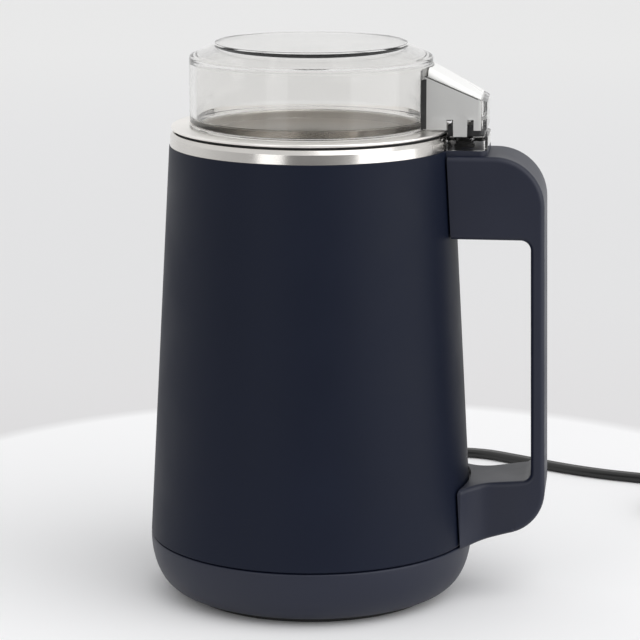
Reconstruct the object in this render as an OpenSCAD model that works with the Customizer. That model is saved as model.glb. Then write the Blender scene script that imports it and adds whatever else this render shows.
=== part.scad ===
// Electric spice grinder with a side handle and a lift-off clear lid.
// Millimetres. The origin is on the body's axis, on the surface that the grinder
// stands on. +Z is up and the handle points along +X.

/* [Body] */
// Outer radius of the body at the seam with the base cap
body_base_r = 55.2; // [53:0.1:58]
// Outer radius of the body at its top edge
body_top_r = 47.7; // [46.5:0.1:50]
// Height of the seam above the table
seam_z = 20; // [18:0.5:24]
// Height of the body's top edge above the table
body_top_z = 154.2; // [148:0.1:165]
// Wall of the body and the base cap
body_wall = 2.4; // [2:0.1:2.8]
// Width of the groove between the body and the base cap
seam_gap = 0.5; // [0.3:0.1:1]

/* [Base cap] */
// Outer radius of the base cap's flat underside
foot_r = 45.5; // [44.5:0.1:47]
// Height of the base cap's underside above the table
foot_lift = 2; // [1.5:0.1:3]
// Middle radius of the rubber foot ring
foot_ring_r = 41.4; // [40.8:0.1:41.8]
// Width of the rubber foot ring
foot_ring_w = 4.4; // [3:0.1:5]
// Circle on which the base screws stand
base_screw_r = 34; // [33:0.5:35]
// Number of base screws
base_screw_count = 3; // [3:1:4]
// Height of the cord's axis where it leaves the base cap
cord_exit_z = 11; // [10.5:0.1:12]
// Number of cooling slots in the underside
vent_count = 14; // [8:1:16]

/* [Handle] */
// Distance from the axis to the outside of the grip, at its upper end
handle_reach = 78.8; // [76:0.1:86]
// How much further out the grip is at its lower end
grip_lean = 2; // [0:0.1:4]
// Thickness of the grip, from finger side to outside
grip_t = 4.6; // [4:0.1:6]
// Width of the handle across
handle_w = 28; // [26:0.5:34]
// Radius of the handle's long edges
handle_edge_r = 1.8; // [1.2:0.1:1.9]
// Distance from the body's top edge down to the top of the handle
handle_drop = 1.5; // [1:0.1:4]
// Depth of the upper arm
upper_arm_h = 27.9; // [26:0.1:32]
// Height of the lower arm's top above the seam, at the body
lower_arm_h = 21.6; // [19:0.1:24]
// Rise of the lower arm's top from the body to the grip
lower_arm_rise = 2.4; // [0:0.1:3]
// Rise of the lower arm's underside per millimetre outwards
underside_slope = 0.36; // [0.25:0.01:0.42]
// Radius of the handle's upper outer corner
upper_corner_r = 15; // [12:0.5:18]
// Radius of the handle's lower outer corner
lower_corner_r = 18; // [14:0.5:20]
// Wall of the hollow arms
handle_wall = 2.8; // [2.2:0.1:3.2]

/* [Bowl and ring] */
// Height of the trim ring
ring_h = 4.7; // [4.2:0.1:5.2]
// Thickness of the sheet that the trim ring is drawn from
ring_t = 1; // [0.8:0.1:1.2]
// Thickness of the liner's flange
liner_flange_t = 2.4; // [2:0.1:3]
// Thickness of the bowl gasket
gasket_t = 3.1; // [2.6:0.1:3.6]
// Thickness of the bowl's sheet steel
bowl_wall = 0.8; // [0.6:0.1:1]
// Thickness of the bowl's folded rim
rim_t = 1; // [0.8:0.1:1.2]
// Depth of the bowl below its rim
bowl_depth = 42.7; // [38:0.1:46]
// Radius between the bowl's floor and wall
bowl_corner_r = 8; // [5:0.5:12]
// Room between the body and the liner, for the handle screws
side_room = 3.3; // [3.2:0.1:3.8]
// Air between the liner and the bowl
liner_gap = 1.2; // [0.8:0.1:1.6]
// Wall of the liner
liner_wall = 2; // [1.6:0.1:2.2]
// Thickness of the liner's floor, which carries the motor
liner_floor_t = 5; // [4:0.1:6]

/* [Lid] */
// How far the lid's wall stands outside the bowl's mouth
lid_seat = 2.8; // [2.2:0.1:3.2]
// Height of the lid's straight wall
lid_wall_h = 22.7; // [18:0.1:28]
// Height of the sloping shoulder above the wall
shoulder_h = 3.5; // [2.5:0.1:5]
// Radius of the raised disc on top
disc_r = 32.2; // [28:0.1:34]
// Height of the raised disc
disc_h = 1; // [0.6:0.1:1.6]
// Wall of the lid
lid_wall = 2.2; // [1.8:0.1:2.6]
// Depth of the lid's skirt inside the bowl
skirt_h = 3.4; // [2.5:0.1:5]
// Thickness of the seal under the lid's wall
seal_t = 0.6; // [0.4:0.1:0.8]
// Clearance between the seal and the bowl's rim
seat_gap = 0.1; // [0.05:0.05:0.15]
// How far the lid lifts to clear the blade and the switch cap
lid_travel = 70; // [60:1:90]

/* [Tab and thumb pad] */
// Width of the lid's tab across
tab_w = 24; // [22:0.5:24]
// Wall of the tab
tab_wall = 1.6; // [1.3:0.1:1.8]
// Height of the tab's top above the lid's foot, where it meets the wall
tab_h = 17.6; // [16:0.1:20]
// Fall of the tab's top per millimetre outwards
tab_slope = 0.42; // [0.3:0.01:0.46]
// Height of the tab's bottom edge above the lid's foot
tab_foot_h = 1.6; // [1.3:0.1:2]
// Width of the tongue that hangs from each side of the tab
tongue_w = 4.7; // [4:0.1:6]
// Depth of the relief slots beside the tongue
relief_h = 3.3; // [2:0.1:4.5]
// Width of the relief slots
relief_w = 2.1; // [1.5:0.1:2.2]
// Thickness of the thumb pad's top
pad_t = 2; // [1.6:0.1:2.4]
// Height of the pad's crown above the tab's frame
pad_crown = 1.6; // [1:0.1:2]
// Clearance round the thumb pad
pad_gap = 0.4; // [0.3:0.05:0.6]
// Travel of the thumb pad
pad_travel = 1.8; // [1.4:0.1:2]
// Radius of the press rod
press_rod_r = 2.1; // [1.8:0.1:2.3]

/* [Switch] */
// Distance from the body's wall, level with the upper arm's underside, out to the plunger's axis
plunger_offset = 2.25; // [2.15:0.05:2.75]
// Radius of the plunger
plunger_r = 2.3; // [2:0.1:2.4]
// Height of the plinth on top of the handle
plinth_h = 2.4; // [2:0.1:3]
// Height of the clear collar
collar_h = 4; // [3.6:0.1:4.4]
// Height of the black switch cap
switch_cap_h = 3.6; // [3:0.1:3.8]
// Distance from the plunger's axis to the outer end of the collar
collar_reach = 8.3; // [7.8:0.1:9]
// Length of the microswitch
switch_l = 12.8; // [12:0.1:13.2]
// Width of the microswitch
switch_w = 5.8; // [5:0.1:6.4]
// Height of the microswitch
switch_h = 6.5; // [6:0.1:7]

/* [Motor] */
// Length of the stator stack
stack_h = 26; // [22:0.5:30]
// Length of the stator plates
stator_l = 64; // [63:0.5:68]
// Width of the stator plates
stator_w = 52; // [50:0.5:56]
// Radius of the armature
rotor_r = 17; // [16:0.1:17.5]
// Air gap between armature and stator
air_gap = 0.5; // [0.4:0.05:0.7]
// Radius of the motor shaft
shaft_r = 3; // [2.5:0.1:3.5]
// Distance from the axis to each motor bolt
bolt_x = 29; // [28.8:0.1:29.2]
// Height of the rubber motor mounts
mount_h = 4; // [3:0.5:5]
// Thickness of the bearing brackets
bracket_t = 4; // [3.5:0.5:5]
// Length of the upper bracket's legs
upper_leg_h = 12; // [11:0.5:14]
// Length of the lower bracket's legs
lower_leg_h = 22; // [21:0.5:24]
// Radius of the commutator
commutator_r = 10; // [9:0.5:11]
// Number of commutator bars
bar_count = 20; // [12:2:24]
// Number of armature slots
slot_count = 10; // [8:1:12]
// Radius of the cooling fan
fan_r = 26; // [24:0.5:27]
// Number of fan vanes
vane_count = 9; // [7:1:11]

/* [Blade] */
// Length of the blade from tip to tip
blade_l = 64; // [54:0.5:68]
// Width of the blade
blade_w = 11; // [9:0.5:13]
// Thickness of the blade
blade_t = 1.6; // [1.2:0.1:2]
// Angle by which one wing rises and the other falls
blade_angle = 10; // [4:1:12]

/* [Fasteners] */
// Radius of the casing screws
screw_r = 1.6; // [1.4:0.1:1.8]
// Radius of the casing screws' heads
screw_head_r = 3; // [2.7:0.1:3.2]
// Height of the casing screws' heads
screw_head_h = 2; // [1.6:0.1:2.2]
// Clearance between a screw and its hole
screw_gap = 0.1; // [0.05:0.05:0.2]

/* [Cord] */
// Width of the flat cord
cord_w = 5.4; // [5:0.1:6]
// Thickness of the flat cord
cord_t = 3.4; // [3:0.1:3.6]
// Length of the strain relief outside the base cap
relief_l = 32.6; // [26:0.1:36]
// Mean radius of the coil
coil_r = 28; // [26:0.5:30]
// Length of the plug's body
plug_l = 36; // [30:1:40]

/* [Hidden] */

$fn = 96;
eps = 0.01;             // lets a cut run clean through a face
running_gap = 0.05;     // radial clearance of a turning shaft or a sliding plunger
part_gap = 0.3;         // clearance between pieces that move past each other
fit_gap = 0.1;          // clearance between pieces that are fixed together
arc_steps = 6;          // segments on each rounded corner

// Colours
navy = [0.17, 0.19, 0.26];
steel = [0.72, 0.73, 0.74];
clear = [0.75, 0.74, 0.73, 0.45];
black = [0.08, 0.08, 0.09];
brass = [0.75, 0.6, 0.3];
copper = [0.72, 0.4, 0.2];
white = [0.95, 0.95, 0.94];
iron = [0.45, 0.46, 0.48];

// ---- Plane geometry ----

function unit(v) = v / norm(v);
function turned(v) = [-v.y, v.x];
function cross2(a, b) = a.x * b.y - a.y * b.x;
function next(list, k) = list[(k + 1) % len(list)];
function prev(list, k) = list[(k + len(list) - 1) % len(list)];

// Corner at b between a and c, rounded to radius r
function corner_arc(a, b, c, r, n) = let (
    u = unit(a - b), w = unit(c - b), half = acos(u * w) / 2,
    m = b + unit(u + w) * r / sin(half),
    p = b + u * r / tan(half) - m, q = b + w * r / tan(half) - m,
    a0 = atan2(p.y, p.x), d = atan2(q.y, q.x) - a0,
    sweep = d > 180 ? d - 360 : d < -180 ? d + 360 : d)
    [for (j = [0 : n]) m + r * [cos(a0 + sweep * j / n), sin(a0 + sweep * j / n)]];

// Polygon with each corner rounded to its own radius; a radius of 0 stays sharp
function rounded(points, radii, n = arc_steps) = [for (k = [0 : len(points) - 1])
    each (radii[k] > 0 ? corner_arc(prev(points, k), points[k], next(points, k), radii[k], n)
        : [points[k]])];

// Corner at b of an anticlockwise outline whose edges all move inwards by d
function inset_corner(a, b, c, d) = let (
    n1 = turned(unit(b - a)), n2 = turned(unit(c - b)))
    b + (n1 + n2) * d / (1 + n1 * n2);
function inset(points, d) = [for (k = [0 : len(points) - 1])
    inset_corner(prev(points, k), points[k], next(points, k), d)];
function is_convex(points, k) =
    cross2(points[k] - prev(points, k), next(points, k) - points[k]) > 0;
function inset_radii(points, radii, d) = [for (k = [0 : len(points) - 1])
    is_convex(points, k) ? radii[k] - d : radii[k] + d];

function box_outline(x0, x1, y0, y1) = [[x0, y0], [x1, y0], [x1, y1], [x0, y1]];

module ring(r_in, r_out, z0, z1) {
    translate([0, 0, z0]) difference() {
        cylinder(r = r_out, h = z1 - z0);
        translate([0, 0, -eps]) cylinder(r = r_in, h = z1 - z0 + 2 * eps);
    }
}

module rod(r, z0, z1) { translate([0, 0, z0]) cylinder(r = r, h = z1 - z0); }

module block(x0, x1, y0, y1, z0, z1) {
    translate([x0, y0, z0]) cube([x1 - x0, y1 - y0, z1 - z0]);
}

// Outline in X and Z, extruded from y0 to y1
module side_plate(points, y0, y1) {
    translate([0, y1, 0]) rotate([90, 0, 0]) linear_extrude(y1 - y0) polygon(points);
}

module around(count, start = 0) {
    for (k = [0 : count - 1]) rotate([0, 0, start + 360 * k / count]) children();
}

// Tube along points, its section turned so that "up" stays near the given direction
module tube(points, section, up) {
    count = len(points);
    sides = len(section);
    function heading(k) = unit(points[min(k + 1, count - 1)] - points[max(k - 1, 0)]);
    rings = [for (k = [0 : count - 1]) let (
        side = unit(cross(heading(k), up)), lift = cross(side, heading(k)))
        each [for (s = section) points[k] + side * s.x + lift * s.y]];
    walls = [for (k = [0 : count - 2], s = [0 : sides - 1]) let (
        a = k * sides + s, b = k * sides + (s + 1) % sides)
        [a, b, b + sides, a + sides]];
    polyhedron(rings, concat(walls, [[for (s = [sides - 1 : -1 : 0]) s]],
        [[for (s = [0 : sides - 1]) (count - 1) * sides + s]]));
}

function oval(w, t, sides) = [for (k = [0 : sides - 1])
    let (a = 360 * (k + 0.5) / sides) [w / 2 * cos(a), t / 2 * sin(a)] / cos(180 / sides)];

// Coil spring between z0 and z1, standing on the Z axis
module spring(r, wire_r, z0, z1, turns) {
    steps = turns * 10;
    low = z0 + wire_r * 1.1;
    high = z1 - wire_r * 1.1;
    tube([for (k = [0 : steps]) let (a = 360 * k / 10)
        [r * cos(a), r * sin(a), low + (high - low) * k / steps]],
        oval(2 * wire_r, 2 * wire_r, 5), [0, 0, 1]);
}

// ---- Heights and radii that follow from the sizes above ----

function body_r(z) = body_base_r + (body_top_r - body_base_r) * (z - seam_z) / (body_top_z - seam_z);

ring_top_z = body_top_z + ring_h;
liner_flange_z = body_top_z + liner_flange_t;
rim_under_z = liner_flange_z + gasket_t;
rim_z = rim_under_z + rim_t;
bowl_floor_z = rim_z - bowl_depth;
liner_r = body_top_r - body_wall - side_room;
bowl_r = liner_r - liner_wall - liner_gap - bowl_wall;
rim_r = body_top_r - 0.7;
lid_r = bowl_r + lid_seat;
lid_foot_z = rim_z + seat_gap + seal_t;
lid_wall_top_z = lid_foot_z + lid_wall_h;
lid_shoulder_z = lid_wall_top_z + shoulder_h;

liner_floor_top_z = bowl_floor_z - bowl_wall - 2 * fit_gap;
liner_floor_z = liner_floor_top_z - liner_floor_t;
upper_bracket_z = liner_floor_z - mount_h - bracket_t;
stack_top_z = upper_bracket_z - upper_leg_h;
stack_z = stack_top_z - stack_h;
lower_bracket_top_z = stack_z - lower_leg_h;
lower_bracket_z = lower_bracket_top_z - bracket_t;
cap_floor_z = foot_lift + body_wall;

// ---- Casing ----

module body_cone(grow, z0, z1) {
    translate([0, 0, z0]) cylinder(r1 = body_r(z0) + grow, r2 = body_r(z1) + grow, h = z1 - z0);
}

handle_half = handle_w / 2;
handle_top_z = body_top_z - handle_drop;
upper_arm_z = handle_top_z - upper_arm_h;
lower_arm_top_z = seam_z + lower_arm_h;
arm_root_x = body_top_r - 10;        // inside the body, where the body's cone trims the arms
boss_y = 8.2;                        // handle screws stand this far each side of the middle
boss_r = 3.2;
pad_boss_r = 4.2;
upper_boss_z = upper_arm_z + handle_wall + boss_r - 0.2;
lower_boss_z = seam_z + 12;
lead_hole_r = 3;
lead_hole_z = upper_arm_z + 7;
screw_thread_l = 9;

// Where a handle screw's head seats, inside the wall
function seat_x(z) = sqrt(pow(body_r(z) - body_wall, 2) - pow(boss_y + screw_head_r, 2)) - 0.3;

module handle_screw_axes() {
    for (z = [lower_boss_z, upper_boss_z], side = [-1, 1])
        translate([seat_x(z), side * boss_y, z]) rotate([0, 90, 0]) children();
}

base_post_r = 4;
base_post_rise = 4.5;
base_post_l = 12;
base_post_z = seam_z + base_post_rise;
base_post_top_z = base_post_z + base_post_l;
base_screw_spare = 3;                // left of the post above the screw's tip
base_screw_well = 2.2;
base_start_angle = 30;

module body_shell() {
    color(navy) difference() {
        union() {
            difference() {
                body_cone(0, seam_z + seam_gap, body_top_z);
                body_cone(-body_wall, seam_z + seam_gap - eps, body_top_z + eps);
            }
            intersection() {
                handle_screw_axes() cylinder(r = pad_boss_r, h = body_wall * 2);
                body_cone(-body_wall / 2, seam_z + seam_gap, body_top_z);
            }
            intersection() {
                around(base_screw_count, base_start_angle) {
                    translate([base_screw_r, 0, 0]) rod(base_post_r, base_post_z, base_post_top_z);
                    block(base_screw_r, body_base_r, -1, 1, base_post_z, base_post_top_z);
                }
                body_cone(-body_wall / 2, seam_z + seam_gap, body_top_z);
            }
        }
        handle_screw_axes()
            translate([0, 0, -eps]) cylinder(r = screw_r + screw_gap, h = body_wall * 3);
        around(base_screw_count, base_start_angle) translate([base_screw_r, 0, 0])
            rod(screw_r + screw_gap, base_post_z - eps, base_post_top_z - 2);
        translate([0, 0, lead_hole_z]) rotate([0, 90, 0]) cylinder(r = lead_hole_r, h = body_base_r);
    }
}

function grip_out_x(z) = handle_reach
    + grip_lean * (handle_top_z - z) / (handle_top_z - seam_z);
underside_z = seam_z + seam_gap + fit_gap;
function underside(x) = underside_z + underside_slope * (x - body_base_r + 2);
outer_low_x = grip_out_x(seam_z);
outer_low_z = underside(outer_low_x);
function lower_top(x) = lower_arm_top_z + lower_arm_rise
    * (x - body_base_r) / (handle_reach - grip_t - body_base_r);
grip_low_x = grip_out_x(lower_arm_top_z) - grip_t;
grip_high_x = grip_out_x(upper_arm_z) - grip_t;

handle_outline = [[arm_root_x, underside(arm_root_x)], [outer_low_x, outer_low_z],
    [handle_reach, handle_top_z], [arm_root_x, handle_top_z],
    [arm_root_x, upper_arm_z], [grip_high_x, upper_arm_z],
    [grip_low_x, lower_top(grip_low_x)], [arm_root_x, lower_top(arm_root_x)]];
handle_steps = 8;
handle_radii = [3, lower_corner_r, upper_corner_r, 3, 3, 3.4, 4.5, 3];

function handle_loop(y, d) = [for (p = rounded(inset(handle_outline, d),
    inset_radii(handle_outline, handle_radii, d), handle_steps)) [p.x, y, p.y]];

// The C of the handle, its long edges rounded by a stack of inset outlines
module handle_solid() {
    edge_steps = 4;
    angles = [for (k = [0 : edge_steps]) 90 * k / edge_steps];
    near = [for (a = angles) [-handle_half + handle_edge_r * (1 - cos(a)),
        handle_edge_r * (1 - sin(a))]];
    stations = concat(near, [for (k = [edge_steps : -1 : 0]) [-near[k][0], near[k][1]]]);
    loops = [for (s = stations) handle_loop(s[0], s[1])];
    count = len(loops[0]);
    walls = [for (k = [0 : len(loops) - 2], s = [0 : count - 1]) let (
        a = k * count + s, b = k * count + (s + 1) % count)
        each [[a, b, b + count], [a, b + count, a + count]]];
    last = (len(loops) - 1) * count;
    // Each end is a strip of faces between the outer edge of the C and its inner edge
    ends = [for (s = [0 : count / 2 - 2]) let (a = s, b = s + 1, c = count - 2 - s, d = count - 1 - s)
        each [[c, b, a], [d, c, a], [last + a, last + b, last + c], [last + a, last + c, last + d]]];
    polyhedron([for (l = loops) each l], concat(walls, ends));
}

cavity_half = handle_half - handle_wall;
cavity_corner_r = 5;
upper_cavity_z = upper_arm_z + handle_wall;
upper_cavity_top_z = handle_top_z - handle_wall;
plunger_x = body_r(upper_arm_z) + plunger_offset;
collar_end_x = plunger_x + collar_reach;
plinth_z = handle_top_z + plinth_h;
tab_half = tab_w / 2;

module upper_cavity() {
    x1 = handle_reach - handle_wall;
    side_plate(rounded([[arm_root_x - 1, upper_cavity_z], [x1 - 1, upper_cavity_z],
        [x1, upper_cavity_top_z], [arm_root_x - 1, upper_cavity_top_z]],
        [0, 1, upper_corner_r - handle_wall, 0]), -cavity_half, cavity_half);
}

module lower_cavity() {
    x1 = grip_low_x;
    side_plate(rounded([[arm_root_x - 1, underside(arm_root_x - 1) + handle_wall],
        [x1, underside(x1) + handle_wall], [x1, lower_top(x1) - handle_wall],
        [arm_root_x - 1, lower_top(arm_root_x - 1) - handle_wall]],
        [0, cavity_corner_r, 2, 0]), -cavity_half, cavity_half);
}

// Outline of the plinth, collar and cap in plan, grown by d
module deck_outline(d) {
    polygon(rounded(box_outline(arm_root_x, collar_end_x + d, -tab_half - d, tab_half + d),
        [0, 3, 3, 0]));
}

module handle_shell() {
    color(navy) difference() {
        union() {
            difference() {
                handle_solid();
                upper_cavity();
                lower_cavity();
            }
            translate([0, 0, upper_cavity_top_z + 1])
                linear_extrude(plinth_z - upper_cavity_top_z - 1) deck_outline(0);
            intersection() {
                handle_screw_axes() cylinder(r = boss_r, h = screw_thread_l + 6);
                union() {
                    upper_cavity();
                    lower_cavity();
                }
            }
        }
        body_cone(fit_gap, 0, body_top_z);
        rod(body_top_r + fit_gap, body_top_z - eps, rim_z);
        handle_screw_axes()
            cylinder(r = screw_r + screw_gap, h = screw_thread_l + 4);
        translate([plunger_x, 0, 0])
            rod(plunger_r + running_gap, upper_cavity_top_z - eps, plinth_z + eps);
    }
}

module screw(length) {
    translate([0, 0, -screw_head_h]) cylinder(r = screw_head_r, h = screw_head_h);
    cylinder(r = screw_r, h = length);
}

module slotted(width, depth) {
    difference() {
        children();
        translate([0, 0, -screw_head_h]) for (turn = [0, 90]) rotate([0, 0, turn])
            cube([width, 0.8, 2 * depth], center = true);
    }
}

module handle_screws() {
    color(steel) handle_screw_axes() slotted(4, 0.9) screw(screw_thread_l + 3);
}

cap_steps = 12;

// Quarter oval from the flat underside up to the seam, moved inwards by d
function cap_curve(d) = [for (k = [0 : cap_steps]) let (a = 90 * k / cap_steps)
    [foot_r - d + (body_base_r - foot_r) * sin(a),
     foot_lift + d + (seam_z - foot_lift - d) * (1 - cos(a))]];

cap_lip_h = 3.4;
cap_lip_t = 1.8;
clamp_boss_x = 7;
clamp_boss_r = 2.6;
cord_bed_z = cord_exit_z - cord_t / 2;
clamp_seat_z = cord_exit_z + cord_t / 2;
relief_flange_y = body_base_r - 9.2;
clamp_y = relief_flange_y - 7;
relief_hole_w = 8;
relief_hole_h = 7;
relief_start_y = body_base_r + 2 * fit_gap;     // the sleeve widens just outside the cap
foot_groove = 1.2;
vent_mid_r = 17;
vent_l = 18;
vent_w = 2.2;
capacitor_size = [18, 8.5, 14];
capacitor_y = -23;
cradle_t = 1.2;         // ribs that hold the capacitor at its ends

module base_cap() {
    inner_r = body_base_r - body_wall;
    lip_r = body_r(seam_z + cap_lip_h) - body_wall - fit_gap;
    color(navy) difference() {
        union() {
            rotate_extrude() polygon(concat([[0, foot_lift]], cap_curve(0),
                [for (k = [cap_steps : -1 : 0]) cap_curve(body_wall)[k]], [[0, cap_floor_z]]));
            rotate_extrude() polygon([[lip_r - cap_lip_t, seam_z - 4], [inner_r + 0.6, seam_z - 4],
                [inner_r + 0.6, seam_z], [lip_r, seam_z], [lip_r, seam_z + cap_lip_h],
                [lip_r - cap_lip_t, seam_z + cap_lip_h]]);
            around(base_screw_count, base_start_angle) translate([base_screw_r, 0, 0])
                rod(base_post_r, cap_floor_z - 1, base_post_z - fit_gap);
            for (side = [-1, 1]) translate([side * clamp_boss_x, clamp_y, 0])
                rod(clamp_boss_r, cap_floor_z - 1, clamp_seat_z);
            block(-cord_w / 2, cord_w / 2, clamp_y - 1, clamp_y + 1, cap_floor_z - 1, cord_bed_z);
            for (side = [-1, 1]) translate([side * (capacitor_size.x / 2 + fit_gap + cradle_t), 0, 0])
                block(-cradle_t, cradle_t, capacitor_y - 4, capacitor_y + 4,
                    cap_floor_z - 1, cap_floor_z + 5);
        }
        around(base_screw_count, base_start_angle) translate([base_screw_r, 0, 0]) {
            rod(screw_head_r + 0.4, -eps, cap_floor_z + base_screw_well);
            rod(screw_r + screw_gap, 0, base_post_z + 1);
        }
        ring(foot_ring_r - foot_ring_w / 2 - fit_gap, foot_ring_r + foot_ring_w / 2 + fit_gap,
            foot_lift - 1, foot_lift + foot_groove);
        for (side = [-1, 1]) translate([side * clamp_boss_x, clamp_y, 0])
            rod(screw_r + screw_gap, cap_floor_z + 1, seam_z);
        translate([0, relief_flange_y + 1, cord_exit_z]) rotate([-90, 0, 0])
            linear_extrude(body_base_r) relief_outline(relief_hole_w, relief_hole_h);
        for (k = [0 : vent_count - 1]) rotate([0, 0, 360 * (k + 0.5) / vent_count])
            translate([vent_mid_r, 0, 0]) cube([vent_l, vent_w, 4 * body_wall + foot_lift * 2], center = true);
    }
}

module relief_outline(w, h) {
    polygon(rounded(box_outline(-w / 2, w / 2, -h / 2, h / 2), [1.6, 1.6, 1.6, 1.6]));
}

module base_screws() {
    color(steel) around(base_screw_count, base_start_angle)
        translate([base_screw_r, 0, cap_floor_z + base_screw_well]) slotted(4, 0.9)
            screw(base_post_top_z - cap_floor_z - base_screw_well - base_screw_spare);
}

module foot_ring() {
    color(black) ring(foot_ring_r - foot_ring_w / 2, foot_ring_r + foot_ring_w / 2,
        0, foot_lift + foot_groove);
}

// ---- Bowl, ring and liner ----

ring_shoulder = 3.2;

module top_ring() {
    r_in = body_top_r - ring_t - 0.2;
    r_out = body_top_r - 0.2;
    color(steel) rotate_extrude() polygon([[r_in, body_top_z], [r_out, body_top_z],
        [r_out, body_top_z + ring_shoulder], [r_out - 0.8, ring_top_z],
        [r_in - 0.8, ring_top_z], [r_in - 0.8, ring_top_z - ring_t * 0.8],
        [r_in, body_top_z + ring_shoulder - 0.4]]);
}

gasket_r = body_top_r - ring_t - 1.2;

module bowl_gasket() {
    color(black) ring(bowl_r + bowl_wall + 1.8, gasket_r, liner_flange_z, rim_under_z);
}

neck_in_r = 7.4;
neck_out_r = 10;
bowl_hole_r = neck_out_r + 0.3;
neck_h = 4.4;

module bowl() {
    outer_r = bowl_r + bowl_wall;
    color(steel) rotate_extrude() polygon(rounded([[bowl_hole_r, bowl_floor_z - bowl_wall],
        [outer_r, bowl_floor_z - bowl_wall], [outer_r, rim_under_z], [rim_r, rim_under_z],
        [rim_r, rim_z], [bowl_r, rim_z], [bowl_r, bowl_floor_z], [bowl_hole_r, bowl_floor_z]],
        [0, bowl_corner_r + bowl_wall, 0.4, 0.4, 0.45, 1.1, bowl_corner_r, 0]));
}

module inner_liner() {
    flange_r = body_top_r - ring_t - 0.4;
    color(black) difference() {
        union() {
            rotate_extrude() polygon([[neck_in_r - 2, liner_floor_z], [liner_r, liner_floor_z],
                [liner_r, body_top_z], [flange_r, body_top_z], [flange_r, liner_flange_z],
                [liner_r - liner_wall, liner_flange_z], [liner_r - liner_wall, liner_floor_top_z],
                [neck_out_r, liner_floor_top_z], [neck_out_r, liner_floor_top_z + neck_h],
                [neck_in_r, liner_floor_top_z + neck_h], [neck_in_r, liner_floor_top_z],
                [neck_in_r - 2, liner_floor_top_z]]);
        }
        for (side = [-1, 1]) translate([side * bolt_x, 0, 0])
            rod(bolt_r + screw_gap, liner_floor_z - eps, liner_floor_top_z - 0.8);
    }
}

clamp_ring_r = 15;
clamp_ring_h = 4.2;

module bowl_clamp_ring() {
    color(black) difference() {
        rotate_extrude() polygon(rounded([[neck_out_r + fit_gap, bowl_floor_z],
            [clamp_ring_r, bowl_floor_z], [clamp_ring_r - 1, bowl_floor_z + clamp_ring_h],
            [neck_out_r + fit_gap, bowl_floor_z + clamp_ring_h]], [0, 0, 1.2, 0]));
        around(6) translate([clamp_ring_r, 0, 0]) rod(1.4, bowl_floor_z + 1.4, rim_z);
    }
}

module shaft_seal() {
    color(black) ring(shaft_r + running_gap, neck_in_r - fit_gap,
        liner_floor_top_z, liner_floor_top_z + neck_h - 0.6);
}

// ---- Motor, fixed pieces ----

bolt_r = 2;
bolt_head_r = 3.4;
bolt_head_h = 3;
leg_r = 3.4;
bracket_half_l = bolt_x + 5.5;
bracket_half_w = 9;
bushing_r = 6;
bushing_boss_r = 9;
bushing_proud = 2;

module both_bolts() {
    for (side = [-1, 1]) translate([side * bolt_x, 0, 0]) children();
}

module motor_mounts() {
    color(black) both_bolts()
        ring(bolt_r + screw_gap, leg_r + 2.4, upper_bracket_z + bracket_t, liner_floor_z);
}

module motor_bolts() {
    color(steel) both_bolts() {
        rod(bolt_r, lower_bracket_z - eps, liner_floor_top_z - 1);
        translate([0, 0, lower_bracket_z - bolt_head_h]) cylinder(r = bolt_head_r, h = bolt_head_h, $fn = 6);
    }
}

module bracket_bar(z) {
    translate([0, 0, z]) linear_extrude(bracket_t) polygon(rounded(
        box_outline(-bracket_half_l, bracket_half_l, -bracket_half_w, bracket_half_w),
        [7, 7, 7, 7]));
}

module bracket_bores(z0, z1) {
    rod(bushing_r + fit_gap / 2, z0 - 1, z1 + 1);
    both_bolts() rod(bolt_r + screw_gap, z0 - 1, z1 + 1);
}

module upper_bracket() {
    z0 = upper_bracket_z;
    color(iron) difference() {
        union() {
            bracket_bar(z0);
            rod(bushing_boss_r, z0 - bushing_proud, z0 + bracket_t + bushing_proud);
            both_bolts() rod(leg_r, stack_top_z, z0 + 1);
        }
        bracket_bores(stack_top_z, z0 + bracket_t + bushing_proud);
    }
}

brush_rise = 7;
brush_z = lower_bracket_top_z + brush_rise;
brush_w = 5;
brush_l = 12;
brush_h = 6;
brush_size = [brush_w, brush_l, brush_h];
brush_start_y = commutator_r + part_gap;
holder_wall = 1;
holder_gap = 2;
holder_l = 19;
holder_y0 = commutator_r + holder_gap;
holder_y1 = holder_y0 + holder_l;
tower_half = 6;

// Turns what faces +Y to face -Y when side is -1
module facing(side) { rotate([0, 0, side > 0 ? 0 : 180]) children(); }

module lower_bracket() {
    z0 = lower_bracket_z;
    color(black) difference() {
        union() {
            bracket_bar(z0);
            rod(bushing_boss_r, z0 - bushing_proud, z0 + bracket_t);
            both_bolts() rod(leg_r, z0 + 1, stack_z);
            for (side = [-1, 1]) facing(side) {
                block(-tower_half, tower_half, bracket_half_w - 1, holder_y1 - 1, z0, z0 + bracket_t);
                block(-tower_half, tower_half, commutator_r + 1.5, holder_y1 - 1, z0,
                    brush_z - brush_size.z / 2 - holder_wall - fit_gap);
            }
        }
        bracket_bores(z0 - bushing_proud, stack_z);
    }
}

module bushing(z0, z1) {
    color(brass) ring(shaft_r + running_gap, bushing_r, z0, z1);
}

module upper_bushing() {
    bushing(upper_bracket_z - bushing_proud, upper_bracket_z + bracket_t + bushing_proud);
}

module lower_bushing() {
    bushing(lower_bracket_z - bushing_proud, lower_bracket_z + bracket_t);
}

window_x = 25.5;
window_y0 = 10.5;
window_y1 = 20;
shoe_t = 3;
shoe_gap = 6;

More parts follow.
